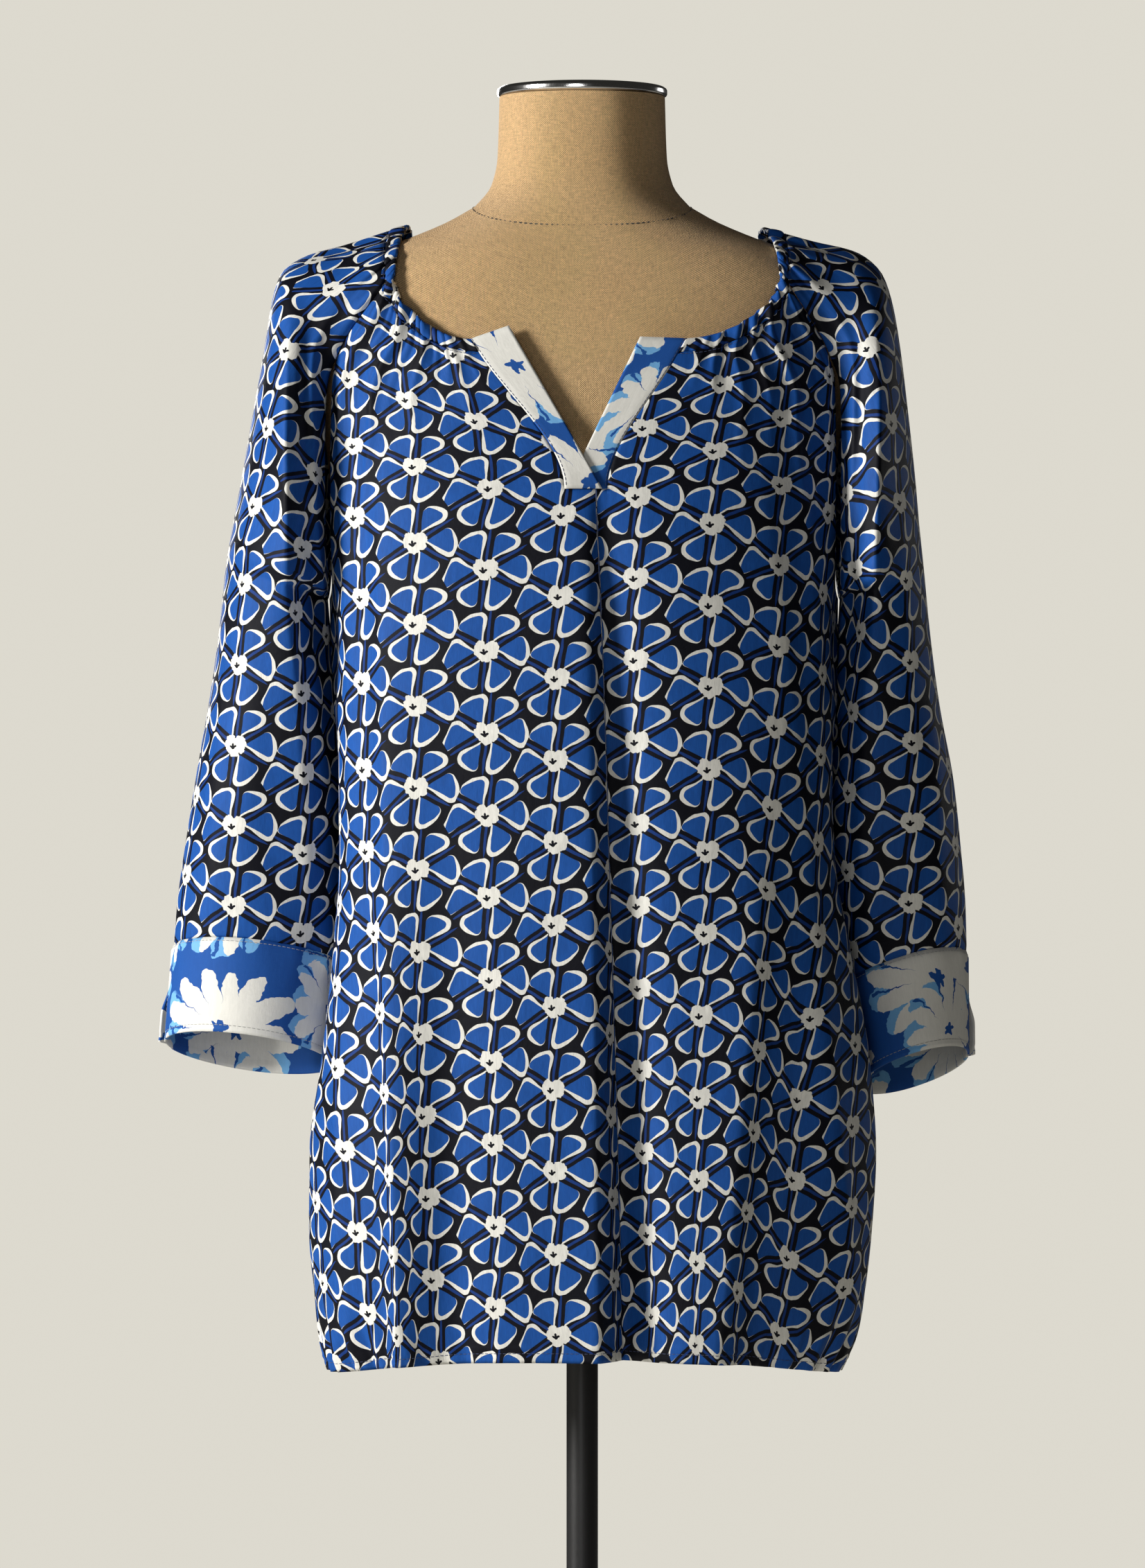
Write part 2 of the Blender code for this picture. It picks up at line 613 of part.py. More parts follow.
# ---- The dress form ------------------------------------------------------------------------------------
def lofted(rings):
    """A closed solid through rings, with a flat end at each."""
    mesh = bmesh.new()
    loops = [[mesh.verts.new(p) for p in ring] for ring in rings]
    for lower, upper in zip(loops, loops[1:]):
        for j in range(len(lower)):
            k = (j + 1) % len(lower)
            mesh.faces.new((lower[j], lower[k], upper[k], upper[j]))
    mesh.faces.new(loops[0][::-1])
    mesh.faces.new(loops[-1])
    return mesh


def turned(profile, cells):
    """A turned solid from (radius, height) pairs, from its foot up."""
    turns = [2 * math.pi * j / cells for j in range(cells)]
    return lofted([[Vector((r * math.cos(a), r * math.sin(a), z)) for a in turns] for r, z in profile])


def form_ring(z):
    ring = []
    for j in range(FORM_CELLS):
        angle = 2 * math.pi * j / FORM_CELLS
        side, front = math.sin(angle), math.cos(angle)
        deep = read(FORM, "front" if front > 0 else "back", z)
        x = read(FORM, "wide", z) * power(side, 2 / FORM_SQUARE)
        ring.append(Vector((x, -deep * power(front, 2 / FORM_SQUARE), z)))
    return ring


def make_form():
    linen = make_material("linen", (0.46, 0.35, 0.23), 0.85)
    chrome = make_material("chrome", (0.75, 0.75, 0.75), 0.15, 1.0)
    black = make_material("black_metal", (0.012, 0.012, 0.013), 0.35)
    add_object("form_body", lofted([form_ring(z) for z in FORM["z"]]), linen)
    foot = NECK_TOP_Z + SEAM_GAP
    edge = CAP_TALL / 4
    cap = [
        (CAP_RADIUS - edge, foot),
        (CAP_RADIUS, foot + edge),
        (CAP_RADIUS, foot + CAP_TALL - edge),
        (CAP_RADIUS - edge, foot + CAP_TALL),
        (CAP_RADIUS * 0.6, foot + CAP_TALL + edge),
    ]
    add_object("form_cap", turned(cap, 40), chrome)
    pole = [(POLE_RADIUS, BASE_TALL + HUB_TALL + SEAM_GAP), (POLE_RADIUS, FORM_BOTTOM_Z - SEAM_GAP)]
    add_object("form_pole", turned(pole, 24), black)
    bevel = BASE_TALL / 4
    plate = [
        (BASE_RADIUS - bevel, 0.0),
        (BASE_RADIUS, bevel),
        (BASE_RADIUS, BASE_TALL - 2 * bevel),
        (BASE_RADIUS - 2 * bevel, BASE_TALL),
    ]
    add_object("form_base", turned(plate, 48), black)
    hub = [
        (HUB_RADIUS, BASE_TALL + SEAM_GAP),
        (HUB_RADIUS, BASE_TALL + HUB_TALL - bevel),
        (HUB_RADIUS - bevel, BASE_TALL + HUB_TALL),
    ]
    add_object("form_hub", turned(hub, 32), black)


for old in list(bpy.data.objects):
    bpy.data.objects.remove(old, do_unlink=True)
make_blouse()
make_form()
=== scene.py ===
"""The looks of a raglan blouse on a dress form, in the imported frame: metres, +Z up, front towards -Y.

Left and right are the viewer's. The cloth is drawn again as thin shells on its solids' form, with finer
folds, gathers, seams and stitches. Each shell carries the flat cut's coordinates in its "cloth" UV map,
p across and q up in metres, and the prints are worked out from them in the materials' nodes.
"""

import bisect
import math
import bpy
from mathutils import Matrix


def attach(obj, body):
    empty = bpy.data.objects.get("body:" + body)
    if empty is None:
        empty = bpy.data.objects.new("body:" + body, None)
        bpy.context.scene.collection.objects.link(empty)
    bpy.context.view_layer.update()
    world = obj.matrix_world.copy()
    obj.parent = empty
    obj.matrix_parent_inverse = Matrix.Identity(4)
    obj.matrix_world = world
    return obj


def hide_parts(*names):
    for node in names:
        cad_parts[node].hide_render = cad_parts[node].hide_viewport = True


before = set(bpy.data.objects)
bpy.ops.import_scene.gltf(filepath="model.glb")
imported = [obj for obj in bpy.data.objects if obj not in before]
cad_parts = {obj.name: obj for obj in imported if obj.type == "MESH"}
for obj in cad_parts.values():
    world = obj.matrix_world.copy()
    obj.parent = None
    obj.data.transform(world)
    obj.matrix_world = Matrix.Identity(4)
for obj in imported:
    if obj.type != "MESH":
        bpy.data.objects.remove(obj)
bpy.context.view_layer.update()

from types import SimpleNamespace

import bmesh
import bpy
import numpy as np
from mathutils import Vector

SCENE = bpy.context.scene
MM = 0.001

# ---- Camera and light ----
PIXEL = 0.00044  # metres per pixel of the photograph, at the form's axis
FRAME_HIGH = 2263
CAMERA_AT = (-0.00616, -4.6, 1.0478)
SENSOR = 36.0


def link(name, data):
    made = bpy.data.objects.new(name, data)
    SCENE.collection.objects.link(made)
    return made


def add_light(name, at, target_z, size, watts, colour=(1, 1, 1)):
    """A round lamp that is aimed at a height on the form's axis."""
    data = bpy.data.lights.new(name, "AREA")
    data.shape, data.size, data.energy, data.color = "DISK", size, watts, colour
    made = link(name, data)
    made.location = at
    made.rotation_euler = (Vector((0, 0, target_z)) - Vector(at)).to_track_quat("-Z", "Y").to_euler()


def make_camera():
    data = bpy.data.cameras.new("camera")
    data.sensor_fit, data.sensor_height = "VERTICAL", SENSOR
    data.lens = SENSOR * -CAMERA_AT[1] / (FRAME_HIGH * PIXEL)
    SCENE.camera = link("camera", data)
    SCENE.camera.location, SCENE.camera.rotation_euler = CAMERA_AT, (math.pi / 2, 0, 0)


make_camera()
add_light("key", (-3.62, -1.62, 2.0), 1.08, 1.1, 232, (1.0, 0.985, 0.955))
add_light("fill", (-0.7, -4.4, 1.5), 1.0, 1.6, 22)
add_light("edge", (2.6, 2.4, 1.6), 1.05, 1.2, 7)
add_light("behind", (-0.9, 4.3, 1.9), 1.0, 1.6, 60)
SCENE.view_settings.view_transform = "Standard"
SCENE.view_settings.look = "None"


# ---- Arithmetic on a material's fields ----
def feed(slot, value):
    """Links a node's input to a field or an output, or sets its value."""
    value = getattr(value, "socket", value)
    if isinstance(value, bpy.types.NodeSocket):
        slot.id_data.links.new(value, slot)
    else:
        slot.default_value = value


def add_node(tree, kind, inputs, **settings):
    node = tree.nodes.new("ShaderNode" + kind)
    for name, value in settings.items():
        setattr(node, name, value)
    for key, value in inputs.items():
        feed(node.inputs[key], value)
    return node


class Field:
    """A number that varies over a surface, worked out by a material's nodes."""

    def __init__(self, tree, socket):
        self.tree, self.socket = tree, socket

    def math(self, operation, *others):
        node = add_node(self.tree, "Math", dict(enumerate((self, *others))), operation=operation)
        return Field(self.tree, node.outputs[0])

    def __rsub__(self, other):
        return self * -1 + other

    def step(self, low, high, to_low=0.0, to_high=1.0):
        """A smooth change from one value to another between two limits."""
        inputs = dict(enumerate((self, low, high, to_low, to_high)))
        node = add_node(self.tree, "MapRange", inputs, interpolation_type="SMOOTHSTEP")
        return Field(self.tree, node.outputs[0])

    def pick(self, first, second):
        """first where this is 1, second where it is 0."""
        return (first - second) * self + second


def method(operation):
    return lambda self, *others: self.math(operation, *others)


for names, operation in {
    "__add__ __radd__": "ADD", "__sub__": "SUBTRACT", "__mul__ __rmul__": "MULTIPLY",
    "__truediv__": "DIVIDE", "__abs__": "ABSOLUTE", "over": "MAXIMUM", "under": "MINIMUM",
    "sine": "SINE", "cosine": "COSINE", "rounded": "ROUND", "root": "SQRT",
}.items():
    for name in names.split():
        setattr(Field, name, method(operation))


def distance(x, y):
    return (x * x + y * y).root()


def below(field, limit, soft=0.00012):
    """1 where a field is under a limit. soft is half the softness of the edge."""
    return (field - limit).step(-soft, soft, 1.0, 0.0)


def speckle(x, y, scale, detail=2.0):
    """Soft noise about a half."""
    join = add_node(x.tree, "CombineXYZ", {0: x, 1: y})
    node = add_node(x.tree, "TexNoise", {"Vector": join.outputs[0], "Scale": scale, "Detail": detail})
    return Field(x.tree, node.outputs["Fac"])


def stir(x, y, size, scale):
    """What noise adds to x, about nothing."""
    return (speckle(x, y, scale) - 0.5) * size


def woven(p, q, pitch):
    """Threads that cross over and under."""
    return (p * (2 * math.pi / pitch)).sine() * (q * (2 * math.pi / pitch)).sine()


def blend_colours(amount, ground, paint):
    """paint laid over the ground, where amount is 1."""
    factor, first, second, result = 0, 6, 7, 2  # the places of the mix node's colour sockets
    ground, paint = ((*c, 1) if isinstance(c, tuple) else c for c in (ground, paint))
    inputs = {factor: amount, first: ground, second: paint}
    return add_node(amount.tree, "Mix", inputs, data_type="RGBA").outputs[result]


def shade(colour, amount):
    """A colour made darker or lighter by a field about 1."""
    return add_node(amount.tree, "VectorMath", {0: colour, "Scale": amount}, operation="SCALE").outputs[0]


def new_material(name, roughness, sheen=0.0, metallic=0.0, specular=0.5):
    """A material, its shader, and the flat cut's coordinates: p across and q up."""
    material = bpy.data.materials.new(name)
    material.use_nodes = True
    tree = material.node_tree
    shader = tree.nodes["Principled BSDF"]
    for key, value in (("Roughness", roughness), ("Sheen Weight", sheen), ("Metallic", metallic),
                       ("Specular IOR Level", specular)):
        shader.inputs[key].default_value = value
    uv = add_node(tree, "UVMap", {}, uv_map="cloth")
    split = add_node(tree, "SeparateXYZ", {0: uv.outputs[0]})
    return material, shader, Field(tree, split.outputs[0]), Field(tree, split.outputs[1])


def add_bump(shader, height, deep, strength=1.0):
    inputs = {"Strength": strength, "Distance": deep, "Height": height}
    feed(shader.inputs["Normal"], add_node(height.tree, "Bump", inputs).outputs[0])


# ---- Prints ----
SIXTH = math.pi / 3
NAVY = (0.0026, 0.0030, 0.0068)
COBALT = (0.0100, 0.078, 0.33)
SPOKE_BLUE = (0.0080, 0.038, 0.19)
IVORY = (0.76, 0.75, 0.70)
ROYAL = (0.014, 0.082, 0.33)
PALE_BLUE = (0.17, 0.42, 0.74)

# The flowers' lattice: from column to column, how far each is lower than the last, and down a column.
COLUMN, DROP, REPEAT = 0.0452, 0.0169, 0.0506
CELL_AHEAD = (1.7 * MM, -1.0 * MM)
ASKEW = 0.11  # how far the flowers are turned from their rows
PETAL_REACH, REACH_CHANGE = 23.4 * MM, 1.4 * MM
TO_SPOKES = (3.4 * MM, 3.8 * MM)  # from the middle of each spoke to the petal beside it
TIP_BOW = 22
OUTLINE_NARROW, OUTLINE_WIDE, OUTLINE_FROM = 1.2 * MM, 2.7 * MM, 6 * MM
SPOKE_MIDDLE, SPOKE_REACH, SPOKE_HALF, SPOKE_OFF = 13.5 * MM, 12.8 * MM, 0.85 * MM, 0.15 * MM
# The heart's lobes, circles in millimetres: x, y and radius.
HEART = (
    (-3.4, 0.4, 4.6), (3.4, 1.6, 4.4), (-0.8, -3.0, 4.3), (4.0, -2.0, 3.2), (-3.6, 3.0, 3.4), (0.6, 0.4, 4.4)
)
CROWN_OFF, CROWN_FOOT, CROWN_PRONG = 1.6 * MM, 1.15 * MM, 1.7 * MM

# The contrast cloth's daisies: column, drop and repeat of their lattice, size, petals, phase and place.
DAISIES = (
    (0.097, 0.035, 0.089, 0.043, 13, 0.3, (0.012, 0.008)),
    (0.124, -0.052, 0.101, 0.031, 11, 1.1, (0.060, 0.046)),
)


def nearest_on_lattice(p, q, column, drop, repeat, ahead=(0.0, 0.0)):
    """Where a point is from the nearest point of a slanted lattice, sheared so that the lattice is regular.
    ahead moves the cells that belong to the lattice's points, and not the points."""
    shear = 0.5 * repeat / column - drop / column
    places = []
    for side in (0, 1):
        number = ((p - ahead[0]) / column).math("FLOOR") + side
        x = p - number * column
        y = q + number * drop - x * shear
        y = y - ((y - ahead[1]) / repeat).rounded() * repeat
        places.append((x, y, (x - ahead[0]) * (x - ahead[0]) + (y - ahead[1]) * (y - ahead[1])))
    (x0, y0, far0), (x1, y1, far1) = places
    first = far0.math("LESS_THAN", far1)
    x, y = first.pick(x0, x1), first.pick(y0, y1)
    return x, y + x * shear, y


def flower_colour(p, q):
    """Six-petal flowers with spokes between the petals, in cobalt and ivory on navy."""
    p = p + stir(p, q, 1.2 * MM, 95)
    q = q + stir(q, p, 1.2 * MM, 95)
    x, y, sheared = nearest_on_lattice(p, q, COLUMN, DROP, REPEAT, CELL_AHEAD)
    even = x * (REPEAT * math.cos(SIXTH / 2) / COLUMN)
    radius = distance(even, sheared)
    turn = sheared.math("ARCTAN2", even) + ASKEW
    number = (turn / SIXTH).rounded()
    local = turn - number * SIXTH
    out, side = radius * local.cosine(), radius * local.sine()
    to_next, to_last = radius * (SIXTH / 2 - local).sine(), radius * (SIXTH / 2 + local).sine()

    # A petal, with rounded corners. Its reach and the slant of its tip change round the flower.
    reach = (number * (2 * SIXTH) + 0.89).cosine() * REACH_CHANGE + PETAL_REACH
    slant = (number * SIXTH).cosine() * -0.28 + 0.06
    corner = radius.step(9 * MM, 18 * MM, 0.8 * MM, 3.9 * MM)
    tip = reach - out - side * side * TIP_BOW + side * slant
    edges = (to_next - TO_SPOKES[0], to_last - TO_SPOKES[1], tip)
    a, b, c = [(corner - edge).over(0.0) for edge in edges]
    inside = (a * a + b * b + c * c).root() - corner
    about = side.math("ARCTAN2", out - 15 * MM)
    width = about.step(-2.9, -0.9, OUTLINE_NARROW, OUTLINE_WIDE) * (1 - about.step(-0.5, 1.3))

    along = (radius - SPOKE_MIDDLE) / SPOKE_REACH
    taper = (1 - along * along * along * along) * SPOKE_HALF
    spoke = below(abs(to_next - SPOKE_OFF).under(to_last + SPOKE_OFF), taper)
    colour = blend_colours(spoke, NAVY, SPOKE_BLUE)
    colour = blend_colours(below(inside, 0.0), colour, COBALT)
    outline = inside.math("GREATER_THAN", 0.0) * below(inside - width, -0.1 * MM)
    colour = blend_colours(outline * below(-1 * out, -OUTLINE_FROM), colour, IVORY)

    heart = None
    for across, up, size in HEART:
        lobe = distance(x - across * MM, y - up * MM) - size * MM
        heart = heart.under(lobe) if heart else lobe
    ragged = (speckle(p, q, 420, 1.0) - 0.5) * (2.6 * MM)
    colour = blend_colours(below(heart + ragged, 0.0), colour, IVORY)
    x, y = x + CROWN_OFF, y + CROWN_OFF
    prongs = abs(((y.math("ARCTAN2", x) - 1.7) * 2.6).cosine()) * (y / (0.9 * MM)).step(-1.0, 1.0)
    return blend_colours(below(distance(x, y), prongs * CROWN_PRONG + CROWN_FOOT), colour, NAVY)


def daisy_colour(p, q):
    """Large ragged white daisies on royal blue, each with a pale second row of petals behind it."""
    p = p + stir(p, q, 10 * MM, 42) + stir(p, q, 4.5 * MM, 210)
    q = q + stir(q + 3.0, p, 10 * MM, 42) + stir(q + 3.0, p, 4.5 * MM, 210)
    colour = ROYAL
    for column, drop, repeat, size, petals, phase, at in DAISIES:
        x, y, _ = nearest_on_lattice(p - at[0], q - at[1], column, drop, repeat)
        radius, turn = distance(x, y), y.math("ARCTAN2", x)
        wobble = (turn * 3 + phase).sine() * 0.10 + (turn * 2 - phase).cosine() * 0.08 + 1
        for paint, twist, reach, deep in ((PALE_BLUE, 0.5, 1.08, 0.24), (IVORY, 0.0, 1.0, 0.42)):
            tooth = abs(((turn + twist * math.pi / petals) * (petals / 2) + phase).cosine())
            tooth = tooth.math("POWER", 0.85)
            mask = below(radius - (tooth * deep + 1 - deep) * wobble * (size * reach), 0.0, 0.0002)
            if paint is PALE_BLUE:
                mask = mask * below((turn + phase).sine(), 0.25, 0.05)
            colour = blend_colours(mask, colour, paint)
        # Notches between some of the petals, and the heart.
        slit, wedge = abs((turn * (petals / 2) + phase).cosine()), (radius - 0.34 * size) / (0.5 * size)
        notch = below(slit - wedge.over(0.0) * 0.16, 0.0, 0.02) * below(-1 * radius, -0.36 * size)
        notch = notch * below((turn * 2 + phase).sine(), 0.3, 0.05) * below(radius, 1.02 * size)
        colour = blend_colours(notch, colour, ROYAL)
        heart = below(radius - (turn * 5 + phase).sine() * (0.03 * size), 0.11 * size)
        colour = blend_colours(heart, colour, ROYAL)
    return colour


# ---- Materials ----
CLOTH_PITCH, LINEN_PITCH, THREAD_TWIST = 0.00042, 0.00135, 0.0006


def cloth_material(name, paint, roughness, uneven):
    """A fine plain weave with slubs, streaks and patches, more or less uneven."""
    material, shader, p, q = new_material(name, roughness, specular=0.14)
    slubs, patches = speckle(p, q * 0.12, 1500, 3.0), speckle(p, q, 55)
    streaks = speckle(p, q * 0.16, 420, 3.0)
    tone = ((slubs + streaks) * 0.34 + patches * 0.18 - 0.43) * uneven + 1
    feed(shader.inputs["Base Color"], shade(paint(p, q), tone))
    height = woven(p, q, CLOTH_PITCH) * 0.25 + slubs * 0.9 + speckle(p, q, 260, 3.0) * 2.2
    add_bump(shader, height, 0.00010, 0.8)
    feed(shader.inputs["Roughness"], patches * 0.12 + (roughness - 0.06))
    return material


def linen_material():
    """A coarse canvas of uneven warp and weft threads, with flecks, and painted shade and highlight where the
    threads cross.
    """
    material, shader, p, q = new_material("linen", 0.9, 0.15, specular=0.2)
    warp, weft = speckle(p, q * 0.22, 900, 1.0), speckle(p * 0.22, q, 900, 1.0)
    fine_warp, fine_weft = speckle(p, q * 0.4, 2100, 1.0), speckle(p * 0.4, q, 2100, 1.0)
    crossing, flecks = woven(p, q, LINEN_PITCH), speckle(p, q, 1100, 1.0).step(0.60, 0.72)
    # The weave's crossings also darken and lighten the colour: painted shade and highlight on the threads.
    tone = (warp + weft) * 0.55 + (fine_warp + fine_weft) * 0.34 + crossing * 0.46 + flecks * 0.22
    tone = (tone + speckle(p, q, 9, 3.0) * 0.16 - 0.02).over(0.30)
    colour = blend_colours(speckle(p, q, 14), (0.60, 0.388, 0.188), (0.70, 0.465, 0.240))
    feed(shader.inputs["Base Color"], shade(colour, tone))
    add_bump(shader, crossing + (warp + weft) * 1.4, 0.00028, 0.9)
    return material


def metal_material(name, colour, roughness, metallic, scratch):
    material, shader, p, q = new_material(name, roughness, metallic=metallic)
    shader.inputs["Base Color"].default_value = (*colour, 1)
    streaks = speckle(p * 4, q, 240, 3.0)
    feed(shader.inputs["Roughness"], (streaks - 0.5) * scratch + roughness)
    add_bump(shader, streaks + speckle(p, q, 1500, 1.0), 0.00002, 0.6)
    return material


def thread_material(name, colour):
    material, shader, p, q = new_material(name, 0.55, 0.2)
    twist = ((p + q * 1.4) * (2 * math.pi / THREAD_TWIST)).sine()
    # dark is the colour in the twist's grooves: painted shade along the thread, with the ridges at full
    # colour.
    dark = tuple(c * 0.6 for c in colour)
    feed(shader.inputs["Base Color"], blend_colours(twist * 0.5 + 0.5, dark, colour))
    add_bump(shader, twist, 0.00006)
    return material


# Each finish is a material and the name of its slot.
PRINT = cloth_material("print_cloth", flower_colour, 0.58, 1.1), "print_cloth"
CONTRAST = cloth_material("contrast_cloth", daisy_colour, 0.65, 0.45), "contrast_cloth"
LINEN = linen_material(), "form_linen"
CHROME = metal_material("chrome", (0.72, 0.71, 0.70), 0.16, 1.0, 0.10), "form_cap"
BLACK = metal_material("black_metal", (0.012, 0.012, 0.013), 0.36, 0.0, 0.16), "stand_metal"
PRINT_THREAD = thread_material("blue_thread", (0.03, 0.06, 0.20)), "print_cloth"
BAND_THREAD = PRINT_THREAD[0], "contrast_cloth"
CUFF_THREAD = thread_material("pale_thread", (0.62, 0.62, 0.60)), "contrast_cloth"
FORM_THREAD = thread_material("dark_thread", (0.05, 0.035, 0.02)), "form_linen"

# ---- Sizes, as in the part ----
CLOTH = 0.0009
SEAM_GAP = 0.0003
SLEEVE_STEP = 0.0020
SLEEVE_STEP_AT = (0.19, 0.30)
UNDERARM_Z = 1.165
SLIT_Z = 1.2305
NECK_FRONT_Z = 1.3170
NECK_BACK_Z = 1.372
HEM_FRONT_Z, HEM_SIDE_Z = 0.691, 0.678
BINDING_WIDE = 0.010
PLACKET_STEP = 0.0019
PLACKET_STEP_Z = (1.262, 1.285)
VENT_TOP, VENT_WIDE, VENT_OUT = 2.3, 0.004, 0.004
CAP_RADIUS, CAP_TALL = 0.0540, 0.0060
NECK_TOP_Z = 1.4835
FORM_BOTTOM_Z = 0.752
POLE_RADIUS = 0.010
BASE_RADIUS, BASE_TALL = 0.180, 0.010
HUB_RADIUS, HUB_TALL = 0.024, 0.030

# Cells of the shells.
HALF_CELLS, MIDDLE_CELLS, BACK_CELLS, ARCH_CELLS, COARSE_CELLS = 116, 22, 92, 120, 40
ROWS_TO_SLIT, ROWS_TO_UNDERARM, BODY_ROWS, HEM_ROWS, TUBE_ROWS, CUFF_ROWS = 30, 18, 98, 14, 76, 26
HEM_PART = 0.94  # of the way from the underarm down, where the rows come closer for the hem
BINDING_CELLS, PLACKET_CELLS, PLACKET_EXTRA = 8, 14, 4


# ---- Tables ----
def table(names, *rows, plain=""):
    """Named columns, in millimetres here but for the plain ones. The others are read at the first one."""
    columns = dict(zip(names.split(), zip(*rows)))
    return {name: values if name in plain.split() else [round(v * MM, 7) for v in values]
            for name, values in columns.items()}


def rows_of(*given, **kinds):
    """A table as a list of rows with named values."""
    columns = table(*given, **kinds)
    return [SimpleNamespace(**dict(zip(columns, row))) for row in zip(*columns.values())]


def slope(keys, values, k):
    if k in (0, len(keys) - 1):
        a, b = (0, 1) if k == 0 else (k - 1, k)
        return (values[b] - values[a]) / (keys[b] - keys[a])
    before = (values[k] - values[k - 1]) / (keys[k] - keys[k - 1])
    after = (values[k + 1] - values[k]) / (keys[k + 1] - keys[k])
    return 0 if before * after <= 0 else 2 * before * after / (before + after)


def read(tab, name, where):
    """A column at a place between its rows, on a smooth curve that doesn't overshoot them."""
    keys, values = next(iter(tab.values())), tab[name]
    if where <= keys[0]:
        return values[0]
    if where >= keys[-1]:
        return values[-1]
    k = bisect.bisect_right(keys, where) - 1
    gap = keys[k + 1] - keys[k]
    t = (where - keys[k]) / gap
    start, end = slope(keys, values, k) * gap, slope(keys, values, k + 1) * gap
    return (
        values[k] * (1 + 2 * t) * (1 - t) ** 2
        + start * t * (1 - t) ** 2
        + values[k + 1] * t * t * (3 - 2 * t)
        - end * t * t * (1 - t)
    )


# The body's half widths and depths, how hollow its sides are and how square its section is.
BODY = table(
    "z left right front back hollow square",
    (678, 157.5, 161.5, 121, 112, 0, 2.8),
    (698, 165, 172, 128, 119, 1, 2.9),
    (722, 170, 179, 132, 124, 3, 3),
    (770, 174.5, 185, 136, 127, 6, 3.2),
    (820, 175, 188.5, 137.5, 127, 13, 3.3),
    (876, 168, 185, 137.5, 124, 18, 3.3),
    (950, 160, 171.5, 136.5, 119, 16, 3.3),
    (1000, 157, 163, 135.5, 115, 15, 3.2),
    (1060, 157, 161, 134, 111, 12, 3.2),
    (1110, 158, 161, 132.5, 108, 7, 3.1),
    (1165, 160, 162, 129, 105, 0, 2.9),
    (1220, 166, 167, 120, 105, 0, 2.7),
    (1300, 176, 177, 97.5, 101, 0, 2.45),
    (1340, 179, 179, 86, 96, 0, 2.3),
    (1367, 166, 166, 78, 90, 0, 2.3),
    (1400, 130, 130, 69, 80, 0, 2.3),
    plain="square",
)
# The edges of the V opening, and of the strip below it.
MIDDLE = table(
    "z left right",
    (680, -9, 36),
    (950, -10, 26),
    (1165, -11.2, 18),
    (SLIT_Z / MM, -11.1, 15.4),
    (NECK_FRONT_Z / MM, -64.7, 60),
)
# The raglan seams, from the neck (0) to the underarm (1).
FRONT_SEAM = table(
    "at left right z",
    (0, 123.1, 128.6, 1363),
    (0.19, 153, 154.5, 1318),
    (0.26, 157.5, 159, 1301),
    (0.55, 159, 160, 1225),
    (0.72, 158.5, 160, 1185),
    (1, 160, 162, UNDERARM_Z / MM),
    plain="at",
)
BACK_SEAM = table(
    "at left right z",
    (0, 115, 118, 1386),
    (0.19, 145, 146, 1340),
    (0.26, 151, 152, 1318),
    (0.55, 157, 158, 1235),
    (0.72, 158, 159.5, 1190),
    (1, 160, 162, UNDERARM_Z / MM),
    plain="at",
)
# The sleeves' outer and inner lines, on to the cuff seam (2) and the cuff's hem (3).
OUTER = table(
    "at left left_z right right_z deep round",
    (0, 122, 1397.5, 127, 1396, 0, 1),
    (0.1, 150, 1389, 149, 1390.5, 3, 1.02),
    (0.2, 176, 1382, 173.5, 1385, 9, 1.08),
    (0.28, 190.5, 1372, 189, 1373, 16, 1.18),
    (0.35, 196.5, 1353, 196, 1354, 24, 1.28),
    (0.45, 201, 1325, 201, 1326, 34, 1.42),
    (0.6, 207.5, 1288, 205.5, 1290, 48, 1.62),
    (0.8, 216, 1240, 211, 1240, 59, 1.8),
    (0.9, 221, 1213, 213.5, 1211, 67, 1.92),
    (1, 225.5, 1187, 216.5, 1182, 76, 2),
    (1.15, 229, 1153, 220, 1145, 76, 2),
    (1.35, 234.5, 1111, 226.2, 1098, 73, 2),
    (1.55, 243.8, 1057, 235.4, 1048, 67, 2),
    (1.75, 251, 1012, 240, 1005, 60, 2),
    (1.9, 256.2, 976, 242.9, 970, 54, 2),
    (2, 259, 944, 243.7, 939.5, 48, 2),
    (3, 264, 884, 244.5, 876, 50, 2),
    plain="at round",
)
INNER = table(
    "at left left_z right right_z lean",
    (1, 162, UNDERARM_Z / MM, 164, UNDERARM_Z / MM, 0),
    (1.15, 159, 1135, 161.5, 1132, -0.03),
    (1.35, 153, 1090, 156, 1085, -0.08),
    (1.55, 149, 1040, 154, 1033, -0.14),
    (1.75, 148, 995, 156, 985, -0.18),
    (1.9, 150, 955, 162, 945, -0.22),
    (2, 152, 932, 166, 918, -0.25),
    (3, 159, 870, 176.5, 856, -0.27),
    plain="at lean",
)
# The padded form.
FORM = table(
    "z wide front back",
    (FORM_BOTTOM_Z / MM, 126, 86, 96),
    (757, 137, 94, 105),
    (775, 145, 98.5, 110),
    (820, 148.5, 100, 113),
    (870, 147, 98.5, 111),
    (940, 138, 93, 99),
    (1020, 124, 88, 83),
    (1080, 133, 103, 86),
    (1130, 147, 118, 93),
    (1165, 154, 122, 97),
    (1215, 158, 113, 98),
    (1260, 162.5, 101.5, 97.5),
    (1300, 169, 91, 94.5),
    (1335, 174.5, 82, 90),
    (1357, 172.5, 76, 85.5),
    (1372, 159, 71.2, 80.8),
    (1384, 136.5, 67, 75.5),
    (1395, 107, 62.5, 70),
    (1406, 82, 59.5, 66),
    (1417, 65.5, 56.2, 61.5),
    (1428, 57.5, 53.5, 57.5),
    (1445, 53.8, 52, 54.5),
    (NECK_TOP_Z / MM, 52.5, 51.2, 53.2),
)
FORM_SQUARE = 2.2

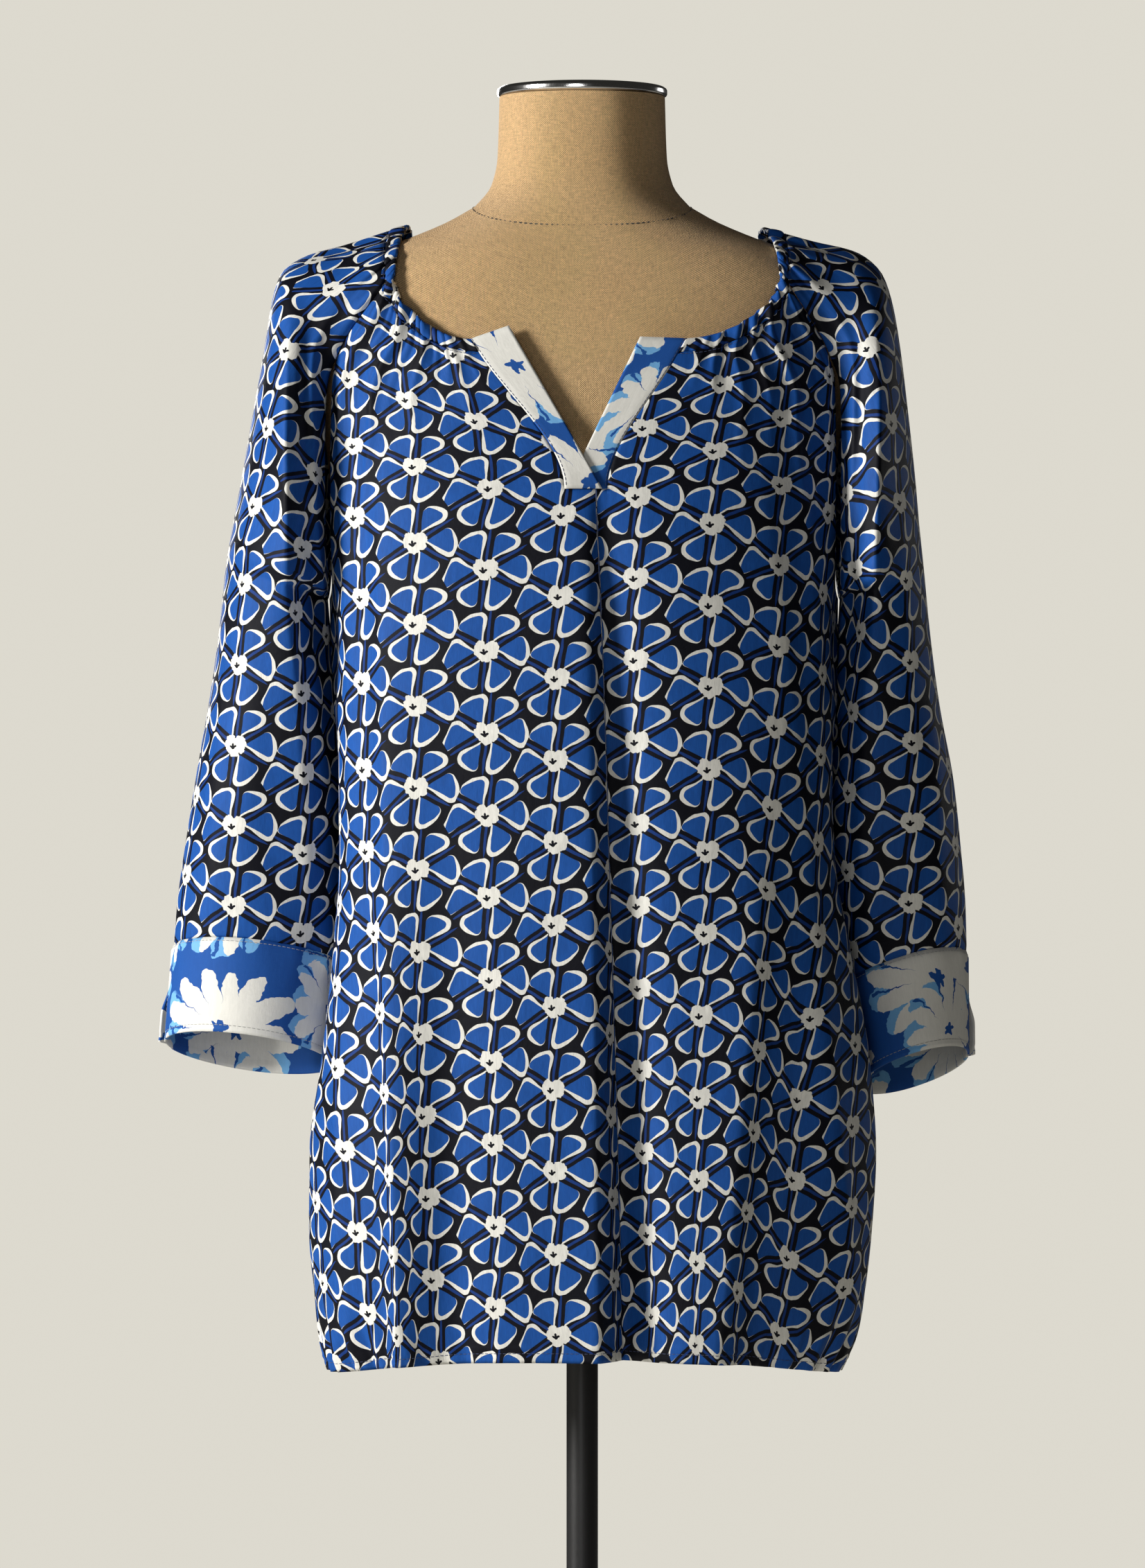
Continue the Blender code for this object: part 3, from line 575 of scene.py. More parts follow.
# Upright folds, finer than the solids'. sharp is 2 for a soft crest and nearer 1 for a pressed one.
FRONT_FOLDS = rows_of(
    "along_top along_low z_top z_low out_top out_low wide_left wide_right sharp",
    (-126, -110, 1250, 680, 2.2, 11, 7, 21, 1.4),
    (-87, -83, 1050, 680, -1, -6.5, 18, 20, 2),
    (-35, -40, 1150, 680, 1, 3, 30, 30, 2),
    (4.5, 10, 1230, 680, 3.5, 12, 40, 6.5, 1.5),
    (11, 29, 1230, 680, -5, -19, 7.5, 18, 1.9),
    (33, 45, 1040, 680, 0.5, 5.5, 12, 26, 1.5),
    (112, 80, 1010, 680, 1, 12, 34, 12, 1.5),
    (125, 108, 1000, 680, -1, -7, 12, 20, 2),
    (116, 162, 1210, 780, 3.5, 4.5, 14, 8, 1.4),
    (139, 148, 1230, 1060, 3, 1.5, 6, 6, 1.5),
    (-148, -143, 1240, 1020, 3, 2, 5, 8, 1.5),
    (-136, -133, 1220, 1080, -1.8, -1, 7, 7, 2),
    (-153, -150, 960, 700, 1, 4, 6, 12, 1.5),
    plain="sharp",
)
BACK_FOLDS = rows_of(
    "along_top along_low z_top z_low out_top out_low wide_left wide_right sharp",
    (-115, -125, 1120, 680, 2, 10, 18, 12, 1.6),
    (-85, -93, 1160, 680, -2, -8, 16, 18, 2),
    (-56, -60, 1220, 680, 2, 11, 20, 9, 1.5),
    (-25, -29, 1120, 680, -2, -7, 14, 20, 2),
    (8, 3, 1180, 680, 2, 9, 18, 14, 1.7),
    (42, 40, 1200, 680, -2, -9, 18, 14, 2),
    (74, 76, 1160, 680, 3, 11, 10, 22, 1.5),
    (112, 118, 1100, 680, -2, -6, 18, 16, 2),
    (99, 101, 1260, 960, 1.6, 1, 6, 8, 1.5),
    (-98, -104, 1270, 930, 1.6, 1, 8, 6, 1.5),
    plain="sharp",
)
# Gathers below the neckline. at and wide are thousandths of the way from the raglan seam to the opening or
# the centre back.
LEFT_GATHERS = rows_of(
    "at length out wide",
    (50, 60, 2.2, 16), (100, 125, 3, 26), (160, 50, -1.6, 18), (210, 80, -2, 24),
    (260, 60, 1.8, 16), (310, 130, 3, 26), (370, 50, -1.4, 18), (430, 70, -1.6, 26),
    (480, 38, 1.4, 18), (530, 90, 2.2, 28), (600, 34, -1, 20), (660, 50, -1.2, 26),
    (720, 30, 1, 18), (790, 60, 1.4, 30), (900, 30, 0.8, 24),
)
RIGHT_GATHERS = rows_of(
    "at length out wide",
    (40, 70, 2.4, 15), (90, 110, 2.8, 22), (150, 60, -1.8, 18), (200, 45, 1.4, 14),
    (250, 70, -1.8, 20), (310, 140, 3.2, 26), (390, 50, -1.4, 22), (450, 75, 2, 20),
    (520, 40, -1.2, 20), (590, 85, 2, 26), (670, 40, -1, 24), (740, 50, 1.4, 22),
    (840, 30, 0.9, 22),
)
BACK_GATHERS = rows_of(
    "at length out wide",
    (40, 60, 2.2, 16), (90, 95, 2.6, 22), (150, 50, -1.4, 18), (200, 60, -1.6, 20),
    (260, 50, 1.4, 16), (320, 110, 2.6, 24), (400, 45, -1.2, 20), (460, 70, 1.6, 20),
    (550, 85, 2, 26), (630, 40, -1, 22), (710, 60, 1.4, 24), (800, 35, -0.8, 24),
    (880, 50, 1.2, 24), (970, 35, 1, 24),
)
# Along the sleeve, by the turn round it (0 at the seam or body side, a quarter at the front).
SLEEVE_FOLDS = rows_of(
    "turn_top turn_low from_at to_at out wide sharp",
    (0.25, 0.15, 0.25, 2, 4.2, 0.026, 1.2),
    (0.33, 0.22, 0.45, 1.95, -2.6, 0.045, 2),
    (0.16, 0.08, 0.12, 1.6, -2.6, 0.034, 2),
    (0.12, 0.05, 0.1, 1.2, 2.6, 0.02, 1.3),
    (0.42, 0.33, 1, 2, 2.2, 0.03, 1.4),
    (0.64, 0.7, 0.7, 2, -3, 0.05, 2),
    (0.74, 0.8, 0.5, 2, 4, 0.03, 1.3),
    (0.86, 0.9, 0.2, 1.7, -2, 0.03, 2),
    (0.56, 0.6, 1.2, 2, 1.6, 0.025, 1.4),
    plain="turn_top turn_low from_at to_at wide sharp",
)
SLEEVE_GATHERS = 6
SLEEVE_GATHER_OUT = 0.0016
SMALL_GATHERS, SMALL_GATHER_OUT = 13, 0.0009
HEM_PUCKER_OUT, HEM_PUCKERS, HEM_PUCKER_TALL = 0.0028, 34, 0.055
SMALL_PUCKER_OUT, SMALL_PUCKERS, SMALL_PUCKER_TALL = 0.0007, 83, 0.030
HOLLOW_AT, HOLLOW_WIDE = 0.008, 0.045
# The body's cloth meets the sleeve's below the underarm.
SIDE_BULGE, BULGE_Y, BULGE_Z, BULGE_DEEP, BULGE_TALL = 0.0045, -0.040, 1.130, 0.022, 0.040


# ---- The surface ----
def mix(a, b, t):
    return a + (b - a) * t


def ease(t):
    t = min(max(t, 0.0), 1.0)
    return t * t * (3 - 2 * t)


def hump(away, wide, sharp=2.0):
    return math.exp(-(abs(away / wide) ** sharp))


def power(value, exponent):
    return math.copysign(abs(value) ** exponent, value)


def fold_out(folds, along, z):
    """How far the folds stand out. Each starts a tenth of its length above its top and fades in and out."""
    total, above = 0.0, 0.1
    for fold in folds:
        down = (fold.z_top - z) / (fold.z_top - fold.z_low)
        if down <= -above:
            continue
        away = along - mix(fold.along_top, fold.along_low, down)
        wide = fold.wide_left if away < 0 else fold.wide_right
        fade = ease((down + above) / 0.25) * ease((1.35 - down) / 0.3)
        total += mix(fold.out_top, fold.out_low, max(down, 0)) * hump(away, wide, fold.sharp) * fade
    return total


def hem_z(angle):
    return mix(HEM_SIDE_Z, HEM_FRONT_Z, math.cos(angle) ** 2)


def half_width(side, z):
    return read(BODY, "left" if side < 0 else "right", z)


def body_point(angle, z):
    """The cloth round the body, with its upright folds and the puckers above the elastic hem."""
    side, ahead = math.sin(angle), math.cos(angle)
    exponent = 2 / read(BODY, "square", z)
    wide, deep = half_width(side, z), read(BODY, "front" if ahead > 0 else "back", z)
    x, y = wide * power(side, exponent), -deep * power(ahead, exponent)
    out = fold_out(FRONT_FOLDS if ahead > 0 else BACK_FOLDS, x, z) * ease(2.4 * abs(ahead) - 0.3)
    above_hem = z - hem_z(angle)
    pucker = ease(1 - above_hem / HEM_PUCKER_TALL) * ease(1.6 * abs(side) - 0.4)
    out += HEM_PUCKER_OUT * math.cos(HEM_PUCKERS * angle) * pucker
    small = ease(1 - above_hem / SMALL_PUCKER_TALL) * SMALL_PUCKER_OUT
    out += small * math.sin(SMALL_PUCKERS * angle + 2 * math.sin(9 * angle)) * (0.35 + 0.65 * abs(side))
    away = Vector((x / wide**2, y / deep**2, 0)).normalized()
    cave = read(BODY, "hollow", z) * hump(y - HOLLOW_AT, HOLLOW_WIDE)
    cave -= SIDE_BULGE * hump(y - BULGE_Y, BULGE_DEEP) * hump(z - BULGE_Z, BULGE_TALL)
    return Vector((x - math.copysign(cave, x) * abs(side), y, z)) + away * out


def angle_at(x, z, back=False):
    """The angle whose plain section lies at x."""
    turn = math.asin(min(abs(x) / half_width(x, z), 1.0) ** (read(BODY, "square", z) / 2))
    return math.copysign(math.pi - turn if back else turn, x)


def name_of(side):
    return "left" if side < 0 else "right"


def seam_place(seam, side, at):
    """The angle and height of a raglan seam."""
    z = read(seam, "z", at)
    if at >= 1:
        return math.copysign(math.pi / 2, side), z
    return angle_at(side * read(seam, name_of(side), at), z, back=seam is BACK_SEAM), z


def gather_out(gathers, at, below_neck):
    return sum(g.out * hump(at - g.at, g.wide, 1.7) * ease(1 - below_neck / g.length) for g in gathers)


def shares(cells):
    """Even steps from 0 to 1."""
    return [k / cells for k in range(cells + 1)]


def yoke_row(seam, gathers, side, at, centre_angle, centre_z, cells):
    """Points from a raglan seam (0) to the centre of the front or back (1), above the underarm."""
    start, seam_z = seam_place(seam, side, at)
    if seam is BACK_SEAM and side < 0:
        centre_angle = -centre_angle
    below_neck = at * (NECK_FRONT_Z - UNDERARM_Z)
    row = []
    for t in shares(cells):
        angle = mix(start, centre_angle, t)
        z = centre_z + (seam_z - centre_z) * (1 - t) ** 2
        lift = gather_out(gathers, t, below_neck) * ease(t / 0.06)
        row.append(body_point(angle, z) + Vector((math.sin(angle), -math.cos(angle), 0)) * lift)
    return row


SLIT_AT = (NECK_FRONT_Z - SLIT_Z) / (NECK_FRONT_Z - UNDERARM_Z)
YOKE_AT = [SLIT_AT * t for t in shares(ROWS_TO_SLIT)[:-1]]
YOKE_AT += [mix(SLIT_AT, 1, t) for t in shares(ROWS_TO_UNDERARM)]
BODY_DOWN = [HEM_PART * t for t in shares(BODY_ROWS)[1:]]
BODY_DOWN += [mix(HEM_PART, 1, t) for t in shares(HEM_ROWS)[1:]]
SLEEVE_AT = YOKE_AT + [1 + t for t in shares(TUBE_ROWS)[1:]]
CUFF_AT = [2 + t for t in shares(CUFF_ROWS)]


def middle_angles(z):
    """The two edges of the V opening, or of the strip below it."""
    return [angle_at(read(MIDDLE, name, z), z) for name in ("left", "right")]


def below_underarm(angles, down):
    return [body_point(a, mix(UNDERARM_Z, hem_z(a), down)) for a in angles]


def front_rows():
    rows = []
    for at in YOKE_AT:
        z = mix(NECK_FRONT_Z, UNDERARM_Z, at)
        left, right = middle_angles(z)
        row = yoke_row(FRONT_SEAM, LEFT_GATHERS, -1, at, left, z, HALF_CELLS)
        row += [body_point(mix(left, right, t), z) for t in shares(MIDDLE_CELLS)[1:-1]]
        rows.append(row + yoke_row(FRONT_SEAM, RIGHT_GATHERS, 1, at, right, z, HALF_CELLS)[::-1])
    for down in BODY_DOWN:
        left, right = middle_angles(mix(UNDERARM_Z, HEM_FRONT_Z, down))
        angles = [mix(-math.pi / 2, left, t) for t in shares(HALF_CELLS)[:-1]]
        angles += [mix(left, right, t) for t in shares(MIDDLE_CELLS)[:-1]]
        angles += [mix(right, math.pi / 2, t) for t in shares(HALF_CELLS)]
        rows.append(below_underarm(angles, down))
    return rows


def back_rows():
    rows = []
    for at in YOKE_AT:
        z = mix(NECK_BACK_Z, UNDERARM_Z, at)
        row = yoke_row(BACK_SEAM, BACK_GATHERS, 1, at, math.pi, z, BACK_CELLS)
        rows.append(row + yoke_row(BACK_SEAM, BACK_GATHERS, -1, at, math.pi, z, BACK_CELLS)[-2::-1])
    angles = [mix(math.pi / 2, 3 * math.pi / 2, t) for t in shares(2 * BACK_CELLS)]
    return rows + [below_underarm(angles, down) for down in BODY_DOWN]


def sleeve_point(side, at, turn):
    """A point of the sleeve: at is 0 at the neck, 1 at the underarm, 2 at the cuff seam and 3 at the
    cuff's hem. turn goes from the front seam (0) over the outer line (0.5) to the back one (1)."""
    arch, name = math.pi * turn, name_of(side)
    outer = Vector((side * read(OUTER, name, at), 0.002, read(OUTER, name + "_z", at)))
    if at <= 1:
        start, end = SLEEVE_STEP_AT
        step = Vector((side * SLEEVE_STEP * ease((at - start) / (end - start)), 0, 0))
        front, back = (body_point(*seam_place(seam, side, at)) + step for seam in (FRONT_SEAM, BACK_SEAM))
    else:
        front = back = Vector((side * read(INNER, name, at), 0, read(INNER, name + "_z", at)))
    middle, half = (front + back) / 2, (front - back) / 2
    over = abs(math.sin(arch)) ** read(OUTER, "round", at)
    across = read(OUTER, "deep", at) * math.sin(2 * arch)
    lean = read(INNER, "lean", at) if at > 1 else 0
    point = middle + (outer - middle) * over + half * math.cos(arch)
    point += Vector((0, -across, -across * lean))
    return point + (point - mix(middle, outer, 0.5)).normalized() * sleeve_out(at, turn)


def sleeve_out(at, turn):
    """How far the sleeve's folds stand out, and its gathers near the neck."""
    total, round_arch = 0.0, 2 * math.pi * turn
    for fold in SLEEVE_FOLDS:
        t = (at - fold.from_at) / (fold.to_at - fold.from_at)
        away = turn - mix(fold.turn_top, fold.turn_low, t)
        total += fold.out * hump(away, fold.wide, fold.sharp) * ease(5 * t) * ease(8 * (1 - t))
    seams = ease(turn / 0.08) * ease((1 - turn) / 0.08)
    gathers = SLEEVE_GATHER_OUT * math.cos(SLEEVE_GATHERS * round_arch)
    small = SMALL_GATHER_OUT * math.sin(SMALL_GATHERS * round_arch + 1.3 * math.sin(5 * turn))
    gathers += small * ease(1 - at / 0.16)
    return (total + gathers * ease(1 - at / 0.3)) * (seams if at <= 1 else 1)


def sleeve_rows(side, ats, cells):
    return [[sleeve_point(side, at, turn) for turn in shares(cells)[::side]] for at in ats]


def cuff_rows(side):
    """Rings from the back edge of the vent, round past the body, to its front edge."""
    rows = []
    for at in CUFF_AT:
        row = [sleeve_point(side, at, (0.5 + j / ARCH_CELLS) % 1) for j in range(ARCH_CELLS + 1)]
        open_by = ease((at - VENT_TOP) / (3 - VENT_TOP) * 2)
        row[0] += Vector((side * VENT_OUT, VENT_WIDE / 2, 0)) * open_by
        row[1] += Vector((side * VENT_OUT * 0.8, VENT_WIDE / 2.4, 0)) * open_by
        row[-1] += Vector((0, -VENT_WIDE / 2, 0)) * open_by
        rows.append(row[::side])
    return rows


def beyond(first, second, reach):
    return first + (first - second).normalized() * reach


def binding_rows(front, back, left, right):
    """From the right edge of the V opening round the neck to its left edge."""
    cut = HALF_CELLS + MIDDLE_CELLS
    first, third = (
        front[i][cut:] + right[i][1:] + back[i][1:] + left[i][1:] + front[i][1 : HALF_CELLS + 1]
        for i in (0, 2)
    )
    reaches = [BINDING_WIDE * (1 - t) for t in shares(BINDING_CELLS)]
    return [[beyond(a, b, reach) for a, b in zip(first, third)] for reach in reaches]


# Each band's free edge, from its top to the tip.
PLACKETS = {-1: ((-0.0457, 1.3333), (0.0122, SLIT_Z)), 1: ((0.0358, 1.3262), (-0.0096, SLIT_Z))}
PLACKET_ABOVE = 1 / 7  # the part of a band that is beside the binding


def placket_rows(side, front):
    """A band from its sewn edge, which is the panel's, to its free edge."""
    column = HALF_CELLS if side < 0 else HALF_CELLS + MIDDLE_CELLS
    edge_line = [front[i][column] for i in range(ROWS_TO_SLIT + 1)]
    places = [PLACKET_ABOVE * t for t in shares(PLACKET_EXTRA)[:-1]]
    first, fourth = edge_line[0], edge_line[3]
    edge_line[:0] = [beyond(first, fourth, BINDING_WIDE * (1 - t)) for t in shares(PLACKET_EXTRA)[:-1]]
    places += [mix(PLACKET_ABOVE, 1, t) for t in shares(ROWS_TO_SLIT)]
    (top_x, top_z), (low_x, low_z) = PLACKETS[side]
    rows = []
    for t, edge in zip(places, edge_line):
        x, z = mix(top_x, low_x, t), mix(top_z, low_z, t)
        free = body_point(angle_at(x, z), z)
        row = [edge.lerp(free, k) for k in shares(PLACKET_CELLS)]
        if side < 0:
            low, high = PLACKET_STEP_Z
            lift = PLACKET_STEP * ease((high - z) / (high - low))
            row = [point + Vector((0, -lift, 0)) for point in row]
        rows.append(row if side < 0 else row[::-1])
    return rows


# ---- Shells ----
def array_of(rows):
    return np.array([[tuple(p) for p in row] for row in rows])


def normals_of(grid):
    """Outward normals of a grid whose rows run down and whose columns run to the right."""
    down, right = np.gradient(grid, axis=0), np.gradient(grid, axis=1)
    normal = np.cross(down, right)
    return normal / np.maximum(np.linalg.norm(normal, axis=2, keepdims=True), 1e-12)


def lengths(grid, axis):
    """How far along its rows or columns each point of a grid is."""
    steps = np.linalg.norm(np.diff(grid, axis=axis), axis=2)
    start = np.zeros_like(np.take(steps, [0], axis=axis))
    return np.concatenate([start, np.cumsum(steps, axis=axis)], axis=axis)


SPRING, SMOOTHING, SETTLING_STEPS = 0.09, 0.03, 900


def pairs_at(down, right):
    """The places of a grid's points that have a neighbour so many cells away, and of the neighbours."""

    def ends(n):
        return (slice(None, -n or None), slice(n, None)) if n >= 0 else (slice(-n, None), slice(None, n))

    return tuple(zip(ends(down), ends(right)))


def flatten(grid):
    """A flat cut with nearly the grid's lengths: springs along its rows, columns and diagonals settle. Those
    that are two cells long, and a little smoothing, keep the cut from folding over."""
    across, down = lengths(grid, 1), lengths(grid, 0)
    middle = across.shape[1] // 2
    flat = np.dstack([across - across[:, [middle]], -np.repeat(down[:, [middle]], across.shape[1], axis=1)])
    ways = ((1, 0), (0, 1), (1, 1), (1, -1))
    pairs = [pairs_at(*way) for way in ways]
    rest = [np.linalg.norm(grid[b] - grid[a], axis=2) for a, b in pairs]
    rest += [length[a] + length[b] for length, (a, b) in zip(rest, pairs)]
    pairs += [pairs_at(2 * i, 2 * j) for i, j in ways]
    for _ in range(SETTLING_STEPS):
        move = np.zeros_like(flat)
        for (a, b), length in zip(pairs, rest):
            gap = flat[b] - flat[a]
            now = np.maximum(np.linalg.norm(gap, axis=2), 1e-9)
            pull = gap * ((now - length) / now)[..., None] * SPRING
            move[a] += pull
            move[b] -= pull
        flat += move
        beside = flat[:-2, 1:-1] + flat[2:, 1:-1] + flat[1:-1, :-2] + flat[1:-1, 2:]
        flat[1:-1, 1:-1] += (beside / 4 - flat[1:-1, 1:-1]) * SMOOTHING
    return flat


def read_columns(places, keys, values):
    return [np.interp(places, keys, column) for column in values.T]


def stretch_to(coarse, ats, turns, fine_ats, fine_turns):
    """Reads a coarse flat cut at a fine grid's places."""
    across = [read_columns(fine_turns, turns, row) for row in coarse]
    return np.dstack([np.array(read_columns(fine_ats, ats, part)).T for part in np.swapaxes(across, 0, 1)])


def make_mesh(name, grid, flat, skip=None):
    """A mesh of quads on a grid, with its flat coordinates."""
    rows, columns = grid.shape[:2]
    kept = [(i, j) for i in range(rows - 1) for j in range(columns - 1) if not (skip and skip(i, j))]
    firsts = [i * columns + j for i, j in kept]
    faces = [(v, v + columns, v + columns + 1, v + 1) for v in firsts]
    used = sorted({v for face in faces for v in face})
    number = {v: k for k, v in enumerate(used)}
    points, cut = grid.reshape(-1, 3)[used], flat.reshape(-1, 2)[used]
    mesh = bpy.data.meshes.new(name)
    mesh.from_pydata(points.tolist(), [], [[number[v] for v in face] for face in faces])
    uv = mesh.uv_layers.new(name="cloth")
    loop_points = np.array([loop.vertex_index for loop in mesh.loops])
    uv.data.foreach_set("uv", cut[loop_points].ravel())
    mesh.shade_smooth()
    return mesh


def place(name, mesh, finish, node=None):
    """Adds a piece, in place of a node if one is named."""
    mesh.materials.append(finish[0])
    made = link(name, mesh)
    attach(made, "root")
    if node:
        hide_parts(node)
    return made


def draw(node, grid, relief, flat, finish, thickness, skip=None, offset=0.0):
    """A cloth shell on a grid with its relief, in place of its node."""
    shaped = grid + normals_of(grid) * relief[..., None]
    piece = place(node + "_cloth", make_mesh(node + "_cloth", shaped, flat, skip), finish, node)
    solid = piece.modifiers.new("thickness", "SOLIDIFY")
    solid.thickness, solid.offset, solid.use_even_offset = thickness, offset, False
    return piece, shaped


def weld(mesh, sharp, face_out=False):
    """Closes a mesh's seams, and smooths all but its sharp edges."""
    work = bmesh.new()
    work.from_mesh(mesh)
    bmesh.ops.remove_doubles(work, verts=work.verts[:], dist=1e-6)
    if face_out:
        bmesh.ops.recalc_face_normals(work, faces=work.faces[:])
    work.to_mesh(mesh)
    work.free()
    mesh.shade_smooth()
    mesh.set_sharp_from_angle(angle=math.radians(sharp))
    return mesh


def dip(distance, deep, wide):
    return -deep * np.exp(-((distance / wide) ** 2))


# A stitch's beads: how far along each ring is, and how wide.
STITCH_RINGS = ((0.0, 0.35), (0.18, 0.9), (0.5, 1.0), (0.82, 0.9), (1.0, 0.35))
STITCH_SIDES = 6


def stitch_line(name, path, normals, finish, pitch, length, thick, lift):
    """Short stitches along a path, each a small bead half sunk in the cloth."""
    path, normals = np.array(path), np.array(normals)
    along = np.concatenate([[0], np.cumsum(np.linalg.norm(np.diff(path, axis=0), axis=1))])
    mesh = bmesh.new()
    uv = mesh.loops.layers.uv.new("cloth")
    for k in range(int(along[-1] / pitch)):
        ends = []
        for at in (k * pitch, k * pitch + length):
            point, out = (Vector(read_columns(at, along, line)) for line in (path, normals))
            out.normalize()
            ends.append((point + out * lift, out))
        (a, out), (b, _) = ends
        side = (b - a).normalized().cross(out).normalized()
        rings = []
        for t, wide in STITCH_RINGS:
            centre = a.lerp(b, t) + out * (thick * 0.35 * math.sin(math.pi * t) - thick * 0.3)
            rings.append([
                mesh.verts.new(centre + (side * math.cos(c) + out * math.sin(c) * 0.75) * thick * wide)
                for c in (2 * math.pi * n / STITCH_SIDES for n in range(STITCH_SIDES))
            ])
        for m, (first, second) in enumerate(zip(rings, rings[1:])):
            for n in range(STITCH_SIDES):
                after = (n + 1) % STITCH_SIDES
                face = mesh.faces.new((first[n], second[n], second[after], first[after]))
                face.smooth = True
                for loop, (u, v) in zip(face.loops, ((m, n), (m + 1, n), (m + 1, n + 1), (m, n + 1))):
                    loop[uv].uv = (k * pitch + u * length / 4, v * 0.0004)
        mesh.faces.new(rings[0][::-1])
        mesh.faces.new(rings[-1])
    bmesh.ops.recalc_face_normals(mesh, faces=mesh.faces[:])
    data = bpy.data.meshes.new(name)
    mesh.to_mesh(data)
    mesh.free()
    return place(name, data, finish)


def line_from_edge(grid, distance, axis=0, last=False):
    """A line on a grid at a distance from its first or last row, or column, with the normals there."""
    points, normals = grid, normals_of(grid)
    if axis:
        points, normals = points.transpose(1, 0, 2), normals.transpose(1, 0, 2)
    if last:
        points, normals = points[::-1], normals[::-1]
    down = lengths(points, 0)
    return [
        [read_columns(distance, down[:, j], values[:, j]) for j in range(down.shape[1])]
        for values in (points, normals)
    ]


# ---- The blouse ----
THREAD, STITCH, STITCH_PITCH, STITCH_PROUD = 0.00022, 0.0023, 0.0030, 0.00008
HEM_STITCH_AT, NECK_STITCH_AT, BAND_STITCH_AT = 0.0062, 0.0016, 0.0012
CUFF_TOP_STITCH_AT, CUFF_HEM_STITCH_AT, VENT_STITCH_AT = 0.0022, 0.0045, 0.0030
CUFF_CLOTH, PLACKET_CLOTH, BINDING_CLOTH = 0.0014, 0.0011, 0.0020


def sewn(name, line, finish=PRINT_THREAD, cloth=CLOTH):
    """Machine stitches along a line on the outer face of the cloth."""
    return stitch_line(name, *line, finish, STITCH_PITCH, STITCH, THREAD, cloth / 2 + STITCH_PROUD)


HEM_CASING, CASING_OUT = 0.0095, 0.0005
SEAM_DEEP, SEAM_WIDE = 0.0012, 0.0028
CUFF_RIPPLE, BINDING_ROLL, BINDING_GATHER = 0.0006, 0.0012, 0.0005
PLEAT_TAKES = (0.043, 0.0068)  # cloth hidden in the centre pleat, across and down
PLEAT_COLUMN = HALF_CELLS + 14  # the last one left of the pleat's valley
YOKE_STRETCH = 0.20  # how much more cloth there is above the slit than the height it covers
FRONT_SHIFT = (-0.0253, -0.0351)
SLEEVE_SHIFT = {-1: (-0.0249, -0.0472), 1: (-0.0166, -0.0017)}
CUFF_SHIFT = {-1: (0.046, 0.030), 1: (0.075, 0.100)}
PLACKET_SHIFT = {-1: (-0.004, 0.036), 1: (0.030, -0.006)}
# Cloth that the folds take up, beyond the way across the surface, at places left and right of the pleat.
TAKEN_LEFT_AT = (-0.150, -0.130, -0.100, -0.057, -0.017)
TAKEN_LEFT = table(
    "z far side third second first",
    (700, -28, -31, 6, 16.5, 22.5),
    (770, -23.5, -21.5, 13.5, 15.5, 24.9),
    (820, -16, -15, 14.7, 16.3, 25),
    (868, -8, -10, 14.9, 15.2, 23.8),
    (910, -3, -6, 14.6, 13.8, 20.8),
    (956, 2, 1, 13.6, 12.6, 18.7),
    (1007, 6, 7, 11, 10.9, 14.4),
    (1056, 6, 7, 9.4, 8.7, 12),
    (1100, 4.5, 5, 6.6, 6.3, 8.5),
    (1146, 2, 3, 3.6, 3.5, 3.5),
    (1199, 0, 0, 0, 0.2, -2),
    (1232, -1, -1, -0.6, -4.1, -4.5),
    (1270, 0, 0, 0.8, 5, 5),
    (1315, 5, 6, 15, 23, 23),
    (1335, 5, 6, 15, 25, 25),
)
TAKEN_RIGHT_AT = (0.040, 0.070, 0.100, 0.130)
TAKEN_RIGHT = table(
    "z first second third side",
    (680, -13, 4.5, 28.5, 34),
    (730, -12, 6.8, 27.5, 33.5),
    (780, -3.9, 8, 20.3, 33.5),
    (830, -1.2, 8.5, 14, 34),
    (880, 0, 8.5, 10.5, 27),
    (950, 1.2, 4.2, 7.5, 18),
    (1050, 0.8, 0.6, 2, 6),
    (1150, -1.2, -2.8, -3, -2.4),
    (1230, -3.2, -4.6, -5.3, -5.4),
    (1270, -7.6, -7.8, -6.8, -6),
    (1315, -12.2, -14, -12.5, -7),
    (1335, -14.2, -15, -13, -8),
)
UNDERARM_ROW = len(YOKE_AT) - 1


def upward(z):
    """The cut's height at a height on the body."""
    return z + YOKE_STRETCH * np.maximum(z - SLIT_Z, 0)


def ramp(values, start, wide):
    """From 0 at the start to 1 a way further."""
    return np.clip((values - start) / wide, 0, 1)


def hem_relief(grid):
    """The turned casing stands out a little, with a groove where it is stitched."""
    from_hem = lengths(grid[::-1], 0)[::-1]
    casing = CASING_OUT * (1 - ramp(from_hem, HEM_CASING, 0.0012))
    return casing + dip(from_hem - HEM_STITCH_AT, 0.0006, 0.0009)


def back_cut(grid):
    """p is the way across from the centre; above the armhole's middle it keeps to upright lines."""
    across = lengths(grid, 1)
    p = across - across[:, [BACK_CELLS]]
    for i in range(ROWS_TO_SLIT):
        p[i] = np.interp(-grid[i, :, 0], np.maximum.accumulate(-grid[ROWS_TO_SLIT, :, 0]), p[ROWS_TO_SLIT])
    return np.dstack([p, upward(grid[..., 2])])


def taken_up(taken, places, x, z):
    """The cloth taken up, between the places across that the table's columns stand for."""
    levels = np.linspace(taken["z"][0], taken["z"][-1], 80)
    columns = [np.interp(z, levels, [read(taken, name, at) for at in levels]) for name in list(taken)[1:]]
    steps = zip(places, places[1:], columns, columns[1:])
    return columns[0] + sum((after - before) * ramp(x, a, b - a) for a, b, before, after in steps)


